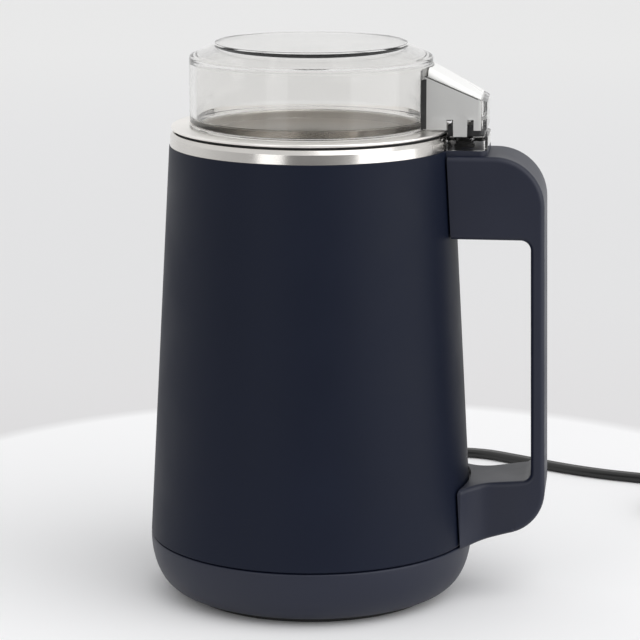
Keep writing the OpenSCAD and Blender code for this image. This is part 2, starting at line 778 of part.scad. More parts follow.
module stator_core() {
    bore = rotor_r + air_gap;
    half = [stator_l, stator_w] / 2;
    color(iron) translate([0, 0, stack_z]) linear_extrude(stack_h) difference() {
        polygon(rounded(box_outline(-half.x, half.x, -half.y, half.y), [8, 8, 8, 8]));
        circle(bore);
        square([2 * shoe_gap, 2 * window_y1], center = true);
        difference() {
            union() {
                for (sx = [-1, 1], sy = [-1, 1])
                    translate([sx * window_x / 2, sy * (window_y0 + window_y1) / 2])
                        square([window_x, window_y1 - window_y0], center = true);
            }
            circle(bore + shoe_t);
        }
        for (side = [-1, 1]) translate([side * bolt_x, 0]) circle(bolt_r + screw_gap);
    }
}

coil_x0 = rotor_r + air_gap + shoe_t + 0.5;
coil_rise = 6.8;

module field_coils() {
    y_in = window_y0 + 0.2;
    y_out = window_y1 - 0.3;
    module wound(half_y, z0, z1, r) {
        polygon(rounded(box_outline(-half_y, half_y, z0, z1), [r, r, r, r]));
    }
    color(copper) for (side = [0, 180]) rotate([0, 0, side]) translate([coil_x0, 0, 0])
        rotate([90, 0, 90]) linear_extrude(window_x - coil_x0 - 0.2) difference() {
            wound(y_out, stack_z - coil_rise, stack_top_z + coil_rise, 6);
            wound(y_in, stack_z - 0.2, stack_top_z + 0.2, 0.6);
        }
}

module brush_holders() {
    inner = brush_size / 2 + [fit_gap, 0, fit_gap];
    color(brass) for (side = [-1, 1]) facing(side) difference() {
        block(-inner.x - holder_wall, inner.x + holder_wall, holder_y0, holder_y1,
            brush_z - inner.z - holder_wall, brush_z + inner.z + holder_wall);
        block(-inner.x, inner.x, holder_y0 - 1, holder_y1 - holder_wall,
            brush_z - inner.z, brush_z + inner.z);
    }
}

module carbon_brushes() {
    color(iron) for (side = [-1, 1]) facing(side)
        block(-brush_size.x / 2, brush_size.x / 2, brush_start_y, brush_start_y + brush_size.y,
            brush_z - brush_size.z / 2, brush_z + brush_size.z / 2);
}

module brush_springs() {
    start = brush_start_y + brush_size.y;
    color(steel) for (side = [-1, 1]) facing(side) translate([0, 0, brush_z])
        rotate([-90, 0, 0]) spring(1.8, 0.35, start, holder_y1 - holder_wall, 5);
}

module suppression_capacitor() {
    color([0.75, 0.65, 0.2]) translate([0, capacitor_y, cap_floor_z])
        linear_extrude(capacitor_size.z) polygon(rounded(box_outline(-capacitor_size.x / 2,
            capacitor_size.x / 2, -capacitor_size.y / 2, capacitor_size.y / 2), [1, 1, 1, 1]));
}

// ---- Motor, turning pieces ----

fan_top_z = lower_bracket_z - bolt_head_h - 2;
fan_h = 9;
blade_z = bowl_floor_z + clamp_ring_h + 2;
thread_r = shaft_r - 0.6;
nut_h = 4.4;

module motor_shaft() {
    color(steel) {
        rod(shaft_r, fan_top_z - fan_h - 1, blade_z);
        rod(thread_r, blade_z - eps, blade_z + blade_t + nut_h - 1.2);
    }
}

module on_shaft(z0, z1) {
    difference() {
        children();
        rod(shaft_r + 0.02, z0 - 1, z1 + 1);
    }
}

core_z = stack_z + 0.5;
core_top_z = stack_top_z - 0.5;
slot_r = 1.8;

module rotor_core() {
    color(iron) translate([0, 0, core_z]) linear_extrude(core_top_z - core_z) difference() {
        circle(rotor_r);
        circle(shaft_r + 0.02);
        for (k = [0 : slot_count - 1]) rotate(360 * (k + 0.5) / slot_count) {
            translate([rotor_r - 3.4, 0]) circle(slot_r, $fn = 24);
            translate([rotor_r - 1, 0]) square([4, 1.2], center = true);
        }
    }
}

winding_h = 6.6;
winding_r = rotor_r - 1.5;

module rotor_windings() {
    module overhang(z0, z1) {
        rotate_extrude() polygon(rounded(box_outline(shaft_r + 0.1, winding_r, z0, z1),
            [0, 2.5, 2.5, 0]));
    }
    color(copper) {
        overhang(core_top_z, core_top_z + winding_h);
        overhang(core_z - winding_h, core_z);
    }
}

commutator_l = 12;
collar_gap = 1.5;

module commutator() {
    z0 = lower_bracket_top_z + collar_gap;
    z1 = core_z - winding_h;
    color(copper) {
        translate([0, 0, z0]) linear_extrude(commutator_l) difference() {
            circle(commutator_r);
            circle(shaft_r + 0.02);
            for (k = [0 : bar_count - 1]) rotate(360 * k / bar_count)
                translate([commutator_r, 0]) square([1.4, 0.5], center = true);
        }
        ring(shaft_r + 0.02, commutator_r - 3, z0 + commutator_l - eps, z1);
    }
}

module cooling_fan() {
    z0 = fan_top_z - fan_h;
    color(black) on_shaft(z0, fan_top_z) {
        rod(6, z0, fan_top_z);
        rod(fan_r, fan_top_z - 1.4, fan_top_z);
        around(vane_count) rotate([0, 0, 12]) block(5, fan_r - 1, -0.6, 0.6, z0, fan_top_z - 1);
    }
}

blade_flat = 9;

module blade() {
    tip = blade_l / 2;
    rise = (tip - blade_flat) * tan(blade_angle);
    color(steel) difference() {
        intersection() {
            side_plate([[-tip, blade_z - rise], [-blade_flat, blade_z], [blade_flat, blade_z],
                [tip, blade_z + rise], [tip, blade_z + blade_t + rise],
                [blade_flat, blade_z + blade_t], [-blade_flat, blade_z + blade_t],
                [-tip, blade_z + blade_t - rise]], -blade_w, blade_w);
            translate([0, 0, blade_z - 2 * rise]) linear_extrude(4 * rise + blade_t) polygon(rounded(
                [[-tip, -blade_w / 2 + 3], [-blade_flat, -blade_w / 2], [blade_flat, -blade_w / 2],
                 [tip, -blade_w / 2], [tip, blade_w / 2 - 3], [blade_flat, blade_w / 2],
                 [-blade_flat, blade_w / 2], [-tip, blade_w / 2]], [1, 0, 0, 5, 1, 0, 0, 5]));
        }
        rod(thread_r + 0.02, blade_z - 1, blade_z + blade_t + 1);
    }
}

module blade_nut() {
    z0 = blade_z + blade_t;
    color(steel) difference() {
        union() {
            translate([0, 0, z0]) cylinder(r = 5, h = nut_h - 1.6, $fn = 6);
            rotate_extrude() polygon(rounded([[0, z0], [4.2, z0], [4.2, z0 + nut_h], [0, z0 + nut_h]],
                [0, 0, 1.6, 0]));
        }
        rod(thread_r + 0.02, z0 - eps, z0 + nut_h - 1);
    }
}

// ---- Switch in the handle ----

flange_h = 1.2;
flange_r = 3;
plunger_flange_z = upper_cavity_top_z - part_gap - flange_h;
spring_l = 6.4;
switch_top_z = plunger_flange_z - spring_l;
switch_z = switch_top_z - switch_h;
switch_x0 = plunger_x - 2.7;
button_r = 1.2;
button_proud = pad_travel + part_gap;
button_base_z = switch_top_z - 1.2;
collar_top_z = plinth_z + collar_h;
switch_cap_top_z = collar_top_z + switch_cap_h;
plunger_top_z = collar_top_z + 1.4;
deck_wall = 1.5;
ring_clear = 0.2;
switch_cap_half = tab_half - tab_wall - 0.5;

switch_mid_x = switch_x0 + switch_l / 2;
peg_r = 1.1;
terminal_z = switch_z - 3;
terminal_pitch = 4.6;

module switch_pegs() {
    for (side = [-1, 1]) translate([switch_mid_x + side * switch_l / 4, 0, switch_z + 1.6])
        rotate([90, 0, 0]) children();
}

module microswitch() {
    color(black) difference() {
        union() {
            block(switch_x0, switch_x0 + switch_l, -switch_w / 2, switch_w / 2,
                switch_z, switch_top_z);
            for (k = [-1, 0, 1]) translate([switch_mid_x + k * terminal_pitch, 0, 0])
                block(-0.3, 0.3, -1, 1, terminal_z, switch_z + 0.5);
        }
        translate([plunger_x, 0, 0])
            rod(button_r + fit_gap, button_base_z - pad_travel - 0.6, switch_top_z + eps);
        switch_pegs() cylinder(r = peg_r + fit_gap, h = switch_w * 2, center = true);
    }
}

// Two blocks wedged beside the microswitch in the upper arm, joined by pegs through it
module switch_cradle() {
    y0 = switch_w / 2 + fit_gap;
    y1 = cavity_half - fit_gap;
    color(white) difference() {
        union() {
            for (turn = [0, 1]) mirror([0, turn, 0])
                block(switch_x0 - 0.2, switch_x0 + switch_l + 0.2, y0, y1,
                    switch_z - 0.6, switch_z + 3.4);
            switch_pegs() cylinder(r = peg_r, h = 2 * y1 - 2, center = true);
        }
        body_cone(fit_gap * 2, 0, body_top_z);
    }
}

module switch_button() {
    color(white) translate([plunger_x, 0, 0])
        rod(button_r, button_base_z, switch_top_z + button_proud);
}

module switch_plunger() {
    tip_z = switch_top_z + button_proud;
    color(black) translate([plunger_x, 0, 0]) {
        rod(1.5, tip_z, plunger_flange_z + eps);
        rod(flange_r, plunger_flange_z, plunger_flange_z + flange_h);
        rod(plunger_r, plunger_flange_z + eps, plunger_top_z);
    }
}

module plunger_spring() {
    color(steel) translate([plunger_x, 0, 0])
        spring(2.15, 0.3, switch_top_z, plunger_flange_z, 5);
}

module plunger_boot() {
    color(black) translate([plunger_x, 0, 0]) difference() {
        rotate_extrude() polygon([[plunger_r + 0.2, plinth_z], [plunger_r + 1.7, plinth_z],
            [plunger_r + 1.7, plinth_z + 1], [plunger_r + 0.9, plinth_z + 1.6],
            [plunger_r + 0.9, collar_top_z - 0.3], [plunger_r + 0.2, collar_top_z - 0.3]]);
        translate([-plunger_x, 0, 0]) rod(body_top_r + ring_clear, plinth_z - 1, collar_top_z);
    }
}

module switch_collar() {
    color(clear) difference() {
        translate([0, 0, plinth_z]) linear_extrude(collar_h) deck_outline(0);
        rod(body_top_r + ring_clear, plinth_z - 1, collar_top_z + 1);
        translate([0, 0, plinth_z - 1]) linear_extrude(collar_h - deck_wall + 1)
            deck_outline(-deck_wall);
        translate([plunger_x, 0, 0]) rod(plunger_r + 1.2, collar_top_z - deck_wall - 1, collar_top_z + 1);
    }
}

module switch_cap() {
    color(black) difference() {
        translate([0, 0, collar_top_z]) linear_extrude(switch_cap_h) polygon(rounded(
            box_outline(arm_root_x, collar_end_x - deck_wall, -switch_cap_half, switch_cap_half),
            [0, 2, 2, 0]));
        rod(rim_r + 0.6, collar_top_z - 1, switch_cap_top_z + 1);
        translate([plunger_x, 0, 0]) rod(press_rod_r + 1.1, collar_top_z - 1, switch_cap_top_z + 1);
    }
}

module switch_leads() {
    x = switch_mid_x - terminal_pitch;
    gap_x = liner_r + side_room / 2 + 0.3;
    color(copper) for (side = [-1, 1]) let (y = side * 1.4, step = terminal_pitch * (1 + side) / 2) tube([
        [x + step, y * 0.6, terminal_z - 1], [x + step / 2, y, terminal_z - 2.6],
        [x - 1, y, lead_hole_z + 0.4], [x - 3, y, lead_hole_z], [gap_x + 1.6, y, lead_hole_z - 1],
        [gap_x + 0.3, y, lead_hole_z - 3], [gap_x, y, lead_hole_z - 6],
        [gap_x, y, liner_floor_z + 2], [gap_x, y, liner_floor_z - 6],
        [gap_x - 3, y, stack_top_z + 9], [bolt_x + 6.4, y, stack_top_z + 4],
        [bolt_x + 5.4, y, stack_top_z + 1]], oval(2, 2, 8), [0, 1, 0]);
}

// ---- Lid ----

skirt_t = 1.2;
skirt_r = bowl_r - 0.5;

module lid_section() {
    ceiling = lid_shoulder_z - lid_wall;
    polygon([[0, ceiling], [disc_r - 1, ceiling], [lid_r - lid_wall, lid_wall_top_z - 1.4],
        [lid_r - lid_wall, lid_foot_z + 2.4], [skirt_r - skirt_t, lid_foot_z],
        [skirt_r - skirt_t, lid_foot_z - skirt_h], [skirt_r, lid_foot_z - skirt_h],
        [skirt_r, lid_foot_z], [lid_r, lid_foot_z], [lid_r, lid_wall_top_z - 0.6],
        [lid_r - 0.5, lid_wall_top_z], [disc_r + 0.3, lid_shoulder_z],
        [disc_r, lid_shoulder_z], [disc_r - 0.3, lid_shoulder_z + disc_h], [0, lid_shoulder_z + disc_h]]);
}

tab_z = lid_foot_z + tab_foot_h;
tab_end_x = collar_end_x - 0.4;
frame_top_z = lid_foot_z + tab_h;
function frame_z(x) = frame_top_z - tab_slope * (x - lid_r + 1.5);
shelf_t = 1.2;
shelf_z = tab_z + 1.4;
tab_corner_r = 3;
frame_w = tab_wall;

// Block under the tab's sloping top, moved inwards by d at the sides and end and by top_d at the top
module tab_block(d, z0, top_d) {
    x1 = tab_end_x - d;
    intersection() {
        side_plate([[lid_r - 6, z0], [x1, z0], [x1, frame_z(x1) - top_d],
            [lid_r - 6, frame_z(lid_r - 6) - top_d]], -tab_half + d, tab_half - d);
        translate([0, 0, z0 - 1]) linear_extrude(rim_z) polygon(rounded(
            box_outline(lid_r - 6, x1, -tab_half + d, tab_half - d),
            [0, tab_corner_r - d, tab_corner_r - d, 0]));
    }
}

tongue_x0 = plunger_x - tongue_w / 2 - 0.8;

module lid() {
    ceiling = lid_shoulder_z - lid_wall;
    color(clear) union() {
        rotate_extrude() lid_section();
        difference() {
            union() {
                difference() {
                    tab_block(0, tab_z, 0);
                    tab_block(tab_wall, tab_z - 1, -4);
                }
                intersection() {
                    tab_block(tab_wall / 2, tab_z, 4);
                    block(lid_r - 6, tab_end_x, -tab_half, tab_half, shelf_z, shelf_z + shelf_t);
                }
                for (side = [-1, 1]) translate([tongue_x0, side * (tab_half - tab_wall / 2), 0])
                    block(0, tongue_w, -tab_wall / 2, tab_wall / 2,
                        collar_top_z + part_gap, tab_z + relief_h);
            }
            rotate_extrude() polygon([[0, lid_foot_z - 1], [lid_r - 0.6, lid_foot_z - 1],
                [lid_r - 0.6, lid_wall_top_z + 1], [0, ceiling]]);
            for (side = [-1, 1], x = [tongue_x0 - relief_w, tongue_x0 + tongue_w])
                translate([x, side * tab_half, 0]) block(0, relief_w, -2 * tab_wall, 2 * tab_wall,
                    tab_z - 1, tab_z + relief_h - 1);
            translate([plunger_x, 0, 0]) rod(press_rod_r + running_gap, tab_z, rim_z + tab_h);
        }
    }
}

module lid_seal() {
    color(clear) ring(skirt_r + 0.4, lid_r - 0.4, rim_z + seat_gap, lid_foot_z);
}

// Thumb pad: a crowned white plate in the tab's sloping frame, with a skirt round its edge
pad_half = tab_half - frame_w - pad_gap;
pad_x1 = tab_end_x - frame_w - pad_gap;
pad_skirt = 2.4;
pad_wall = 1.4;
rod_boss_r = press_rod_r + 1.5;
pad_crown_x = lid_r - 2;
function pad_top_z(x) = frame_z(x) + pad_crown * (1 - 0.5 * (x - pad_crown_x) / (pad_x1 - pad_crown_x));
rod_boss_z = pad_top_z(plunger_x + rod_boss_r) - pad_t - 1;
rod_top_z = rod_boss_z + 1.6;
clip_t = 0.8;
clip_z = shelf_z - part_gap - clip_t;

module thumb_pad() {
    x0 = lid_r - 2;
    corner = tab_corner_r - frame_w - pad_gap;
    color(white) difference() {
        union() {
            difference() {
                intersection() {
                    side_plate([[x0, frame_z(x0) - pad_skirt], [pad_x1, frame_z(pad_x1) - pad_skirt],
                        [pad_x1, pad_top_z(pad_x1)], [x0, pad_top_z(x0)]], -pad_half, pad_half);
                    translate([0, 0, rim_z]) rotate([0, atan(tab_slope), 0]) pad_crown_bar();
                    linear_extrude(lid_shoulder_z + 9) polygon(rounded(
                        box_outline(x0 - 1, pad_x1, -pad_half, pad_half), [0, corner, corner, 0]));
                }
                side_plate([[x0 - 1, rim_z], [pad_x1 - pad_wall, rim_z],
                    [pad_x1 - pad_wall, pad_top_z(pad_x1 - pad_wall) - pad_t],
                    [x0 - 1, pad_top_z(x0 - 1) - pad_t]], -pad_half + pad_wall, pad_half - pad_wall);
            }
            translate([plunger_x, 0, 0]) rod(rod_boss_r, rod_boss_z, pad_top_z(plunger_x + rod_boss_r) - 0.8);
        }
        translate([plunger_x, 0, 0]) rod(press_rod_r + fit_gap / 2, rod_boss_z - 1, rod_top_z);
        rod(lid_r + pad_gap, rim_z, lid_shoulder_z + 9);
    }
}

// Long bar with rounded upper edges that gives the pad its crown
module pad_crown_bar() {
    reach = 90;
    x0 = lid_r - 2;
    crown_z = (frame_z(x0) + pad_crown - rim_z) * cos(atan(tab_slope)) + x0 * sin(atan(tab_slope));
    rotate([90, 0, 90]) linear_extrude(reach) polygon(rounded(
        box_outline(-pad_half, pad_half, -reach, crown_z), [0, 0, 2.6, 2.6]));
}

module press_rod() {
    color(white) translate([plunger_x, 0, 0]) difference() {
        rod(press_rod_r, plunger_top_z + part_gap, rod_top_z);
        ring(press_rod_r - 0.5, press_rod_r + 1, clip_z, clip_z + clip_t);
    }
}

module rod_clip() {
    color(steel) translate([plunger_x, 0, 0]) difference() {
        ring(press_rod_r - 0.45, press_rod_r + 0.8, clip_z + 0.05, clip_z + clip_t - 0.05);
        block(0, 6, -1, 1, clip_z - 1, clip_z + 2);
    }
}

module pad_spring() {
    color(steel) translate([plunger_x, 0, 0])
        spring(press_rod_r + 0.9, 0.3, shelf_z + shelf_t, rod_boss_z, 4);
}

// ---- Cord ----

module cord_clamp() {
    color(black) difference() {
        block(-clamp_boss_x - 3, clamp_boss_x + 3, clamp_y - 3, clamp_y + 3,
            clamp_seat_z, clamp_seat_z + 2.4);
        for (side = [-1, 1]) translate([side * clamp_boss_x, clamp_y, 0])
            rod(screw_r + screw_gap, clamp_seat_z - 1, clamp_seat_z + 4);
    }
}

module clamp_screws() {
    color(steel) for (side = [-1, 1]) translate([side * clamp_boss_x, clamp_y, clamp_seat_z + 2.4])
        rotate([180, 0, 0]) slotted(4, 0.9) screw(8.6);
}

lead_start_y = clamp_y - 5;
lead_side_x = 12;
lead_bend_z = 22;

// Sheathed end of the cord under the clamp, and its two cores up to the brush holders
module power_leads() {
    color(black) {
        translate([0, lead_start_y, cord_exit_z]) rotate([-90, 0, 0])
            linear_extrude(relief_flange_y - lead_start_y) polygon(oval(cord_w, cord_t, 16));
        for (side = [-1, 1]) tube([[side * 1.3, lead_start_y, cord_exit_z],
            [side * 1.6, lead_start_y - 2, cord_exit_z], [side * 4, lead_start_y - 3, cord_exit_z + 1],
            [side * 0.75 * lead_side_x, lead_start_y, cord_exit_z + 0.23 * lead_bend_z],
            [side * lead_side_x, lead_start_y + 3, cord_exit_z + 0.55 * lead_bend_z],
            [side * lead_side_x, lead_start_y + 4, cord_exit_z + lead_bend_z],
            [side * lead_side_x, lead_start_y + 4, brush_z - 8],
            [side * 0.75 * lead_side_x, lead_start_y + 2, brush_z - 3],
            [side * 5.6, holder_y1 + 2.4, brush_z],
            [side * 2, holder_y1 + 1.1, brush_z]], oval(2, 2, 8), [side * 0.6, 1, 0]);
    }
}

// Tapered rubber sleeve with rings, clamped in the base cap's wall
module strain_relief() {
    rings = 7;
    ring_l = 2.4;
    color(black) translate([0, 0, cord_exit_z]) rotate([-90, 0, 0]) {
        translate([0, 0, relief_flange_y]) linear_extrude(1.6) relief_outline(10.4, 9);
        translate([0, 0, relief_flange_y]) linear_extrude(relief_start_y - relief_flange_y + 1)
            relief_outline(relief_hole_w - 2 * fit_gap, relief_hole_h - 2 * fit_gap);
        translate([0, 0, relief_start_y]) linear_extrude(relief_l)
            relief_outline(cord_w + 1.2, cord_t + 1.2);
        for (k = [0 : rings - 1]) let (f = k / (rings - 1))
            translate([0, 0, relief_start_y + f * (relief_l - ring_l - 0.8)]) linear_extrude(ring_l)
                relief_outline(9.6 - 2.2 * f, 7.4 - 2 * f);
    }
}

// Route of the free cord from the strain relief, down to the table and off to the right
cord_route = [[0, 88, 11], [0, 92, 11], [0, 98, 10.2], [0, 104, 8.6], [0, 110, 6.4], [0, 116, 4.3],
    [0, 123, 2.5], [0, 131, 1.8], [1, 139, 1.8], [4, 149, 1.8], [9, 158, 1.8], [16, 166, 1.8],
    [25, 173, 1.8], [34, 177, 1.8], [43, 178, 1.8], [52, 176, 1.8], [61, 171, 1.8], [71, 165, 1.8],
    [81, 159, 1.8], [91, 154, 1.8], [101, 150, 1.8], [111, 147, 1.8], [121, 144, 1.8],
    [131, 141, 1.8], [141, 138, 1.8], [150, 134.6, 1.8]];
coil_centre = [153, 101];
coil_rows = 2;
coil_layers = 2;

module cord_tube() {
    color(black) tube(cord_route,
        oval(cord_w * 0.97, cord_t * 0.97, 8), [0, 0, 1]);
}

module cord_coil() {
    half = cord_w * coil_rows / 2;
    color(black) translate([coil_centre.x, coil_centre.y, 0])
        ring(coil_r - half, coil_r + half, 0, cord_t * coil_layers + 0.2);
}

tail_route = [[185.4, 101, 5.5], [187, 96, 5.9], [188.6, 91.4, 6.3], [190, 87, 6.6]];
plug_heading = 17;      // the plug points this many degrees out from -Y
plug_z = 6.6;

module cord_tail() {
    color(black) tube(tail_route, oval(cord_w * 0.97, cord_t * 0.97, 8), [0, 0, 1]);
}

module at_plug() {
    last = tail_route[len(tail_route) - 1];
    translate([last.x, last.y, 0]) rotate([0, 0, plug_heading]) rotate([0, 0, -90]) children();
}

module plug_body() {
    color(black) at_plug() linear_extrude(2 * plug_z) polygon(rounded([[0, -5], [plug_l - 12, -8],
        [plug_l - 2, -13], [plug_l, -13], [plug_l, 13], [plug_l - 2, 13], [plug_l - 12, 8], [0, 5]],
        [2, 6, 1, 1, 1, 1, 6, 2]));
}

pin_r = 2;
pin_l = 19;
pin_pitch = 18.6;

module plug_pins() {
    color(brass) at_plug() for (side = [-1, 1])
        translate([plug_l, side * pin_pitch / 2, plug_z]) rotate([0, 90, 0]) {
            cylinder(r = pin_r, h = pin_l - pin_r);
            translate([0, 0, pin_l - pin_r]) sphere(pin_r, $fn = 24);
        }
}

// ---- Drawing ----

body_shell();
handle_shell();
handle_screws();
base_cap();
base_screws();
foot_ring();
top_ring();
bowl_gasket();
bowl();
inner_liner();
bowl_clamp_ring();
shaft_seal();
motor_mounts();
motor_bolts();
upper_bracket();
lower_bracket();
upper_bushing();
lower_bushing();
stator_core();
field_coils();
brush_holders();
carbon_brushes();
brush_springs();
suppression_capacitor();
motor_shaft();
rotor_core();
rotor_windings();
commutator();
cooling_fan();
blade();
blade_nut();
microswitch();
switch_cradle();
switch_button();
switch_plunger();
plunger_spring();
plunger_boot();
switch_collar();
switch_cap();
switch_leads();
lid();
lid_seal();
thumb_pad();
press_rod();
rod_clip();
pad_spring();
cord_clamp();
clamp_screws();
power_leads();
strain_relief();
cord_tube();
cord_coil();
cord_tail();
plug_body();
plug_pins();
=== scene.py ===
import math
import bpy
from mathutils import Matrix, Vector


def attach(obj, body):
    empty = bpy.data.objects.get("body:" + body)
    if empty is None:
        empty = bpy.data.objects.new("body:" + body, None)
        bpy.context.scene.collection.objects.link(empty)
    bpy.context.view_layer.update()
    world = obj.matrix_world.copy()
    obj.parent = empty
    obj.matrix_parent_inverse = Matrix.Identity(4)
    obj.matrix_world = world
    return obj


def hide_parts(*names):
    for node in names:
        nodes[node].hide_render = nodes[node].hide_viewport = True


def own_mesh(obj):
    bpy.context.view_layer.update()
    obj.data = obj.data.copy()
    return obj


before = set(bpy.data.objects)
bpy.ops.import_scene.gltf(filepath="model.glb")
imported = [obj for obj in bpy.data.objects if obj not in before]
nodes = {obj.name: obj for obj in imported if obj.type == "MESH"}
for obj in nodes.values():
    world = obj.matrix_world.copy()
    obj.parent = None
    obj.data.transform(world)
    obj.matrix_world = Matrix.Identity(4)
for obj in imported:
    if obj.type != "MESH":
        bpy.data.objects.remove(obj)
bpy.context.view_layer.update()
mm = 0.001

# --- Camera ---
# A long lens at worktop distance, a little above the lid and turned a few
# degrees towards the handle.
camera_turn, camera_pitch = math.radians(6.5), math.radians(12.06)
camera_place = Vector((110.4, -943, 296.4))
bpy.ops.object.camera_add(location=camera_place * mm,
                          rotation=(math.pi / 2 - camera_pitch, 0, camera_turn))
camera = bpy.context.object
camera.name = "grinder_camera"
camera.data.sensor_width = 36
camera.data.lens = 160.3
camera.data.clip_start = 0.01
bpy.context.scene.camera = camera

# --- Mains cord ---
# Flat two-core flex in soft black vinyl, about 0.8 m from the strain relief to
# the plug. It drops to the table and runs off to the right, and its spare length
# is wound in a coil two turns wide and two high.
cord_width, cord_height, cord_groove = 5.4, 3.4, 0.15
cord_route = [(0, 88, 11), (0, 92, 11), (0, 98, 10.2), (0, 104, 8.6), (0, 110, 6.4), (0, 116, 4.3),
              (0, 123, 2.5), (0, 131, 1.8), (1, 139, 1.8), (4, 149, 1.8), (9, 158, 1.8), (16, 166, 1.8),
              (25, 173, 1.8), (34, 177, 1.8), (43, 178, 1.8), (52, 176, 1.8), (61, 171, 1.8), (71, 165, 1.8),
              (81, 159, 1.8), (91, 154, 1.8), (101, 150, 1.8), (111, 147, 1.8), (121, 144, 1.8),
              (131, 141, 1.8), (141, 138, 1.8), (150, 134.6, 1.8)]
tail_route = [(185.4, 101, 5.5), (187, 96, 5.9), (188.6, 91.4, 6.3), (190, 87, 6.6)]
coil_x, coil_y, coil_outer, coil_inner, coil_low, coil_high = 153, 101, 30.7, 25.3, 1.8, 5.2
coil_start, coil_end = 73, 20
coil_turns = 3 + (coil_start - coil_end) / 360
coil_shift, coil_points = 0.14, 80


def eased(t, start, end):
    """Share of the way from start to end, slow at both ends."""
    share = min(max((t - start) / (end - start), 0), 1)
    return share * share * (3 - 2 * share)


coil_route = []
for step in range(coil_points + 1):
    t = coil_turns * step / coil_points
    inwards = eased(t, 1 - coil_shift, 1)
    climbed = eased(t, 2 - 2 * coil_shift, 2 - coil_shift)
    outwards = eased(t, 3 - 3 * coil_shift, 3 - 2 * coil_shift)
    radius = coil_outer + (coil_inner - coil_outer) * (inwards - outwards)
    angle = math.radians(coil_start - 360 * t)
    coil_route.append((coil_x + radius * math.cos(angle), coil_y + radius * math.sin(angle),
                       coil_low + (coil_high - coil_low) * climbed))


def smooth_route(points, steps):
    """Catmull-Rom curve through points given in millimetres."""
    points = [Vector(p) * mm for p in points]
    ends = [2 * points[0] - points[1]] + points + [2 * points[-1] - points[-2]]
    route = []
    for a, b, c, d in zip(ends, ends[1:], ends[2:], ends[3:]):
        for k in range(steps):
            t = k / steps
            route.append(0.5 * (2 * b + (c - a) * t + (2 * a - 5 * b + 4 * c - d) * t * t
                                + (3 * b - a - 3 * c + d) * t ** 3))
    return route + [points[-1]]


def deselect():
    if bpy.context.mode != "OBJECT":
        bpy.ops.object.mode_set(mode="OBJECT")
    bpy.ops.object.select_all(action="DESELECT")


def pick(piece):
    deselect()
    piece.select_set(True)
    bpy.context.view_layer.objects.active = piece


def added(name, primitive, **sizes):
    """New primitive, named and alone in the selection."""
    deselect()
    primitive(**sizes)
    piece = bpy.context.object
    piece.name = piece.data.name = name
    return piece


def modified(piece, kind, **settings):
    """Gives a piece a modifier and applies it."""
    pick(piece)
    modifier = piece.modifiers.new(kind, kind)
    for field, value in settings.items():
        setattr(modifier, field, value)
    bpy.ops.object.modifier_apply(modifier=modifier.name)


def closed_up(piece, merge=0):
    """Merges points nearer than so many millimetres, turns every face outwards and ends the edit."""
    bpy.ops.mesh.select_all(action="SELECT")
    if merge:
        bpy.ops.mesh.remove_doubles(threshold=merge * mm)
    bpy.ops.mesh.normals_make_consistent(inside=False)
    bpy.ops.object.mode_set(mode="OBJECT")
    return piece


def smooth(piece, angle=35):
    """Smooth shading up to the angle, in which the larger faces stay flat."""
    pick(piece)
    bpy.ops.object.shade_smooth_by_angle(angle=math.radians(angle))
    modified(piece, "WEIGHTED_NORMAL", keep_sharp=True)


def drawn_line(name, points, closed=False):
    """Curve of straight stretches through points in metres."""
    piece = added(name, bpy.ops.curve.primitive_nurbs_path_add)
    piece.data.splines.clear()
    spline = piece.data.splines.new("POLY")
    spline.points.add(len(points) - 1)
    for point, at in zip(spline.points, points):
        point.co = (*at, 1)
    spline.use_cyclic_u = closed
    return piece


def swept(name, route, profile):
    """Solid of the profile, in millimetres, carried along the route with its width level."""
    outline = drawn_line("profile", [(x * mm, y * mm, 0) for x, y in profile], closed=True)
    piece = drawn_line(name, route)
    piece.data.twist_mode = "Z_UP"
    piece.data.bevel_mode = "OBJECT"
    piece.data.bevel_object = outline
    piece.data.use_fill_caps = True
    bpy.ops.object.convert(target="MESH")
    bpy.data.objects.remove(outline)
    bpy.ops.object.mode_set(mode="EDIT")
    closed_up(piece, 0.005)
    smooth(piece, 50)
    return piece


def oval(width, height, count, groove):
    """Flat oval with round ends, and a shallow groove between its two cores."""
    reach = (width - height) / 2
    half = [(reach + height / 2 * math.cos(a), height / 2 * math.sin(a))
            for a in (math.pi * (k / count - 0.5) for k in range(count + 1))]
    half += [(reach * 0.4, height / 2), (0, height / 2 - groove), (-reach * 0.4, height / 2)]
    return half + [(-x, -y) for x, y in half]


def linear(*rgb):
    """Linear colour of a screen colour given as 0 to 255."""
    return tuple(c / 3294.6 if c <= 10 else ((c / 255 + 0.055) / 1.055) ** 2.4 for c in rgb)


def put(node, **values):
    """Sets a node's inputs by their names."""
    for name, value in values.items():
        node.inputs[name.replace("_", " ")].default_value = value


def effect(name, inputs, outputs):
    """New shader node group with named inputs, given with their usual values, and outputs."""
    group = bpy.data.node_groups.new(name, "ShaderNodeTree")
    for label, value in inputs.items():
        socket = group.interface.new_socket(name=label, in_out="INPUT", socket_type="NodeSocketFloat")
        socket.default_value = value
    for label in outputs:
        group.interface.new_socket(name=label, in_out="OUTPUT", socket_type="NodeSocketFloat")
    group.nodes.new("NodeGroupInput").name = "given"
    group.nodes.new("NodeGroupOutput").name = "gives"
    return group


def add_node(tree, name, kind, operation=None, **values):
    """New shader node with its operation and the values of its named inputs."""
    node = tree.nodes.new("ShaderNode" + kind)
    node.name = name
    if operation:
        node.operation = operation
    put(node, **values)
    return node


def set_ramp(node, *stops):
    """Sets a colour ramp's stops, each a position and a colour, from left to right."""
    elements = node.color_ramp.elements
    while len(elements) < len(stops):
        elements.new(1)
    for element, (position, color) in zip(elements, stops):
        element.position = position
        element.color = (*color, 1)


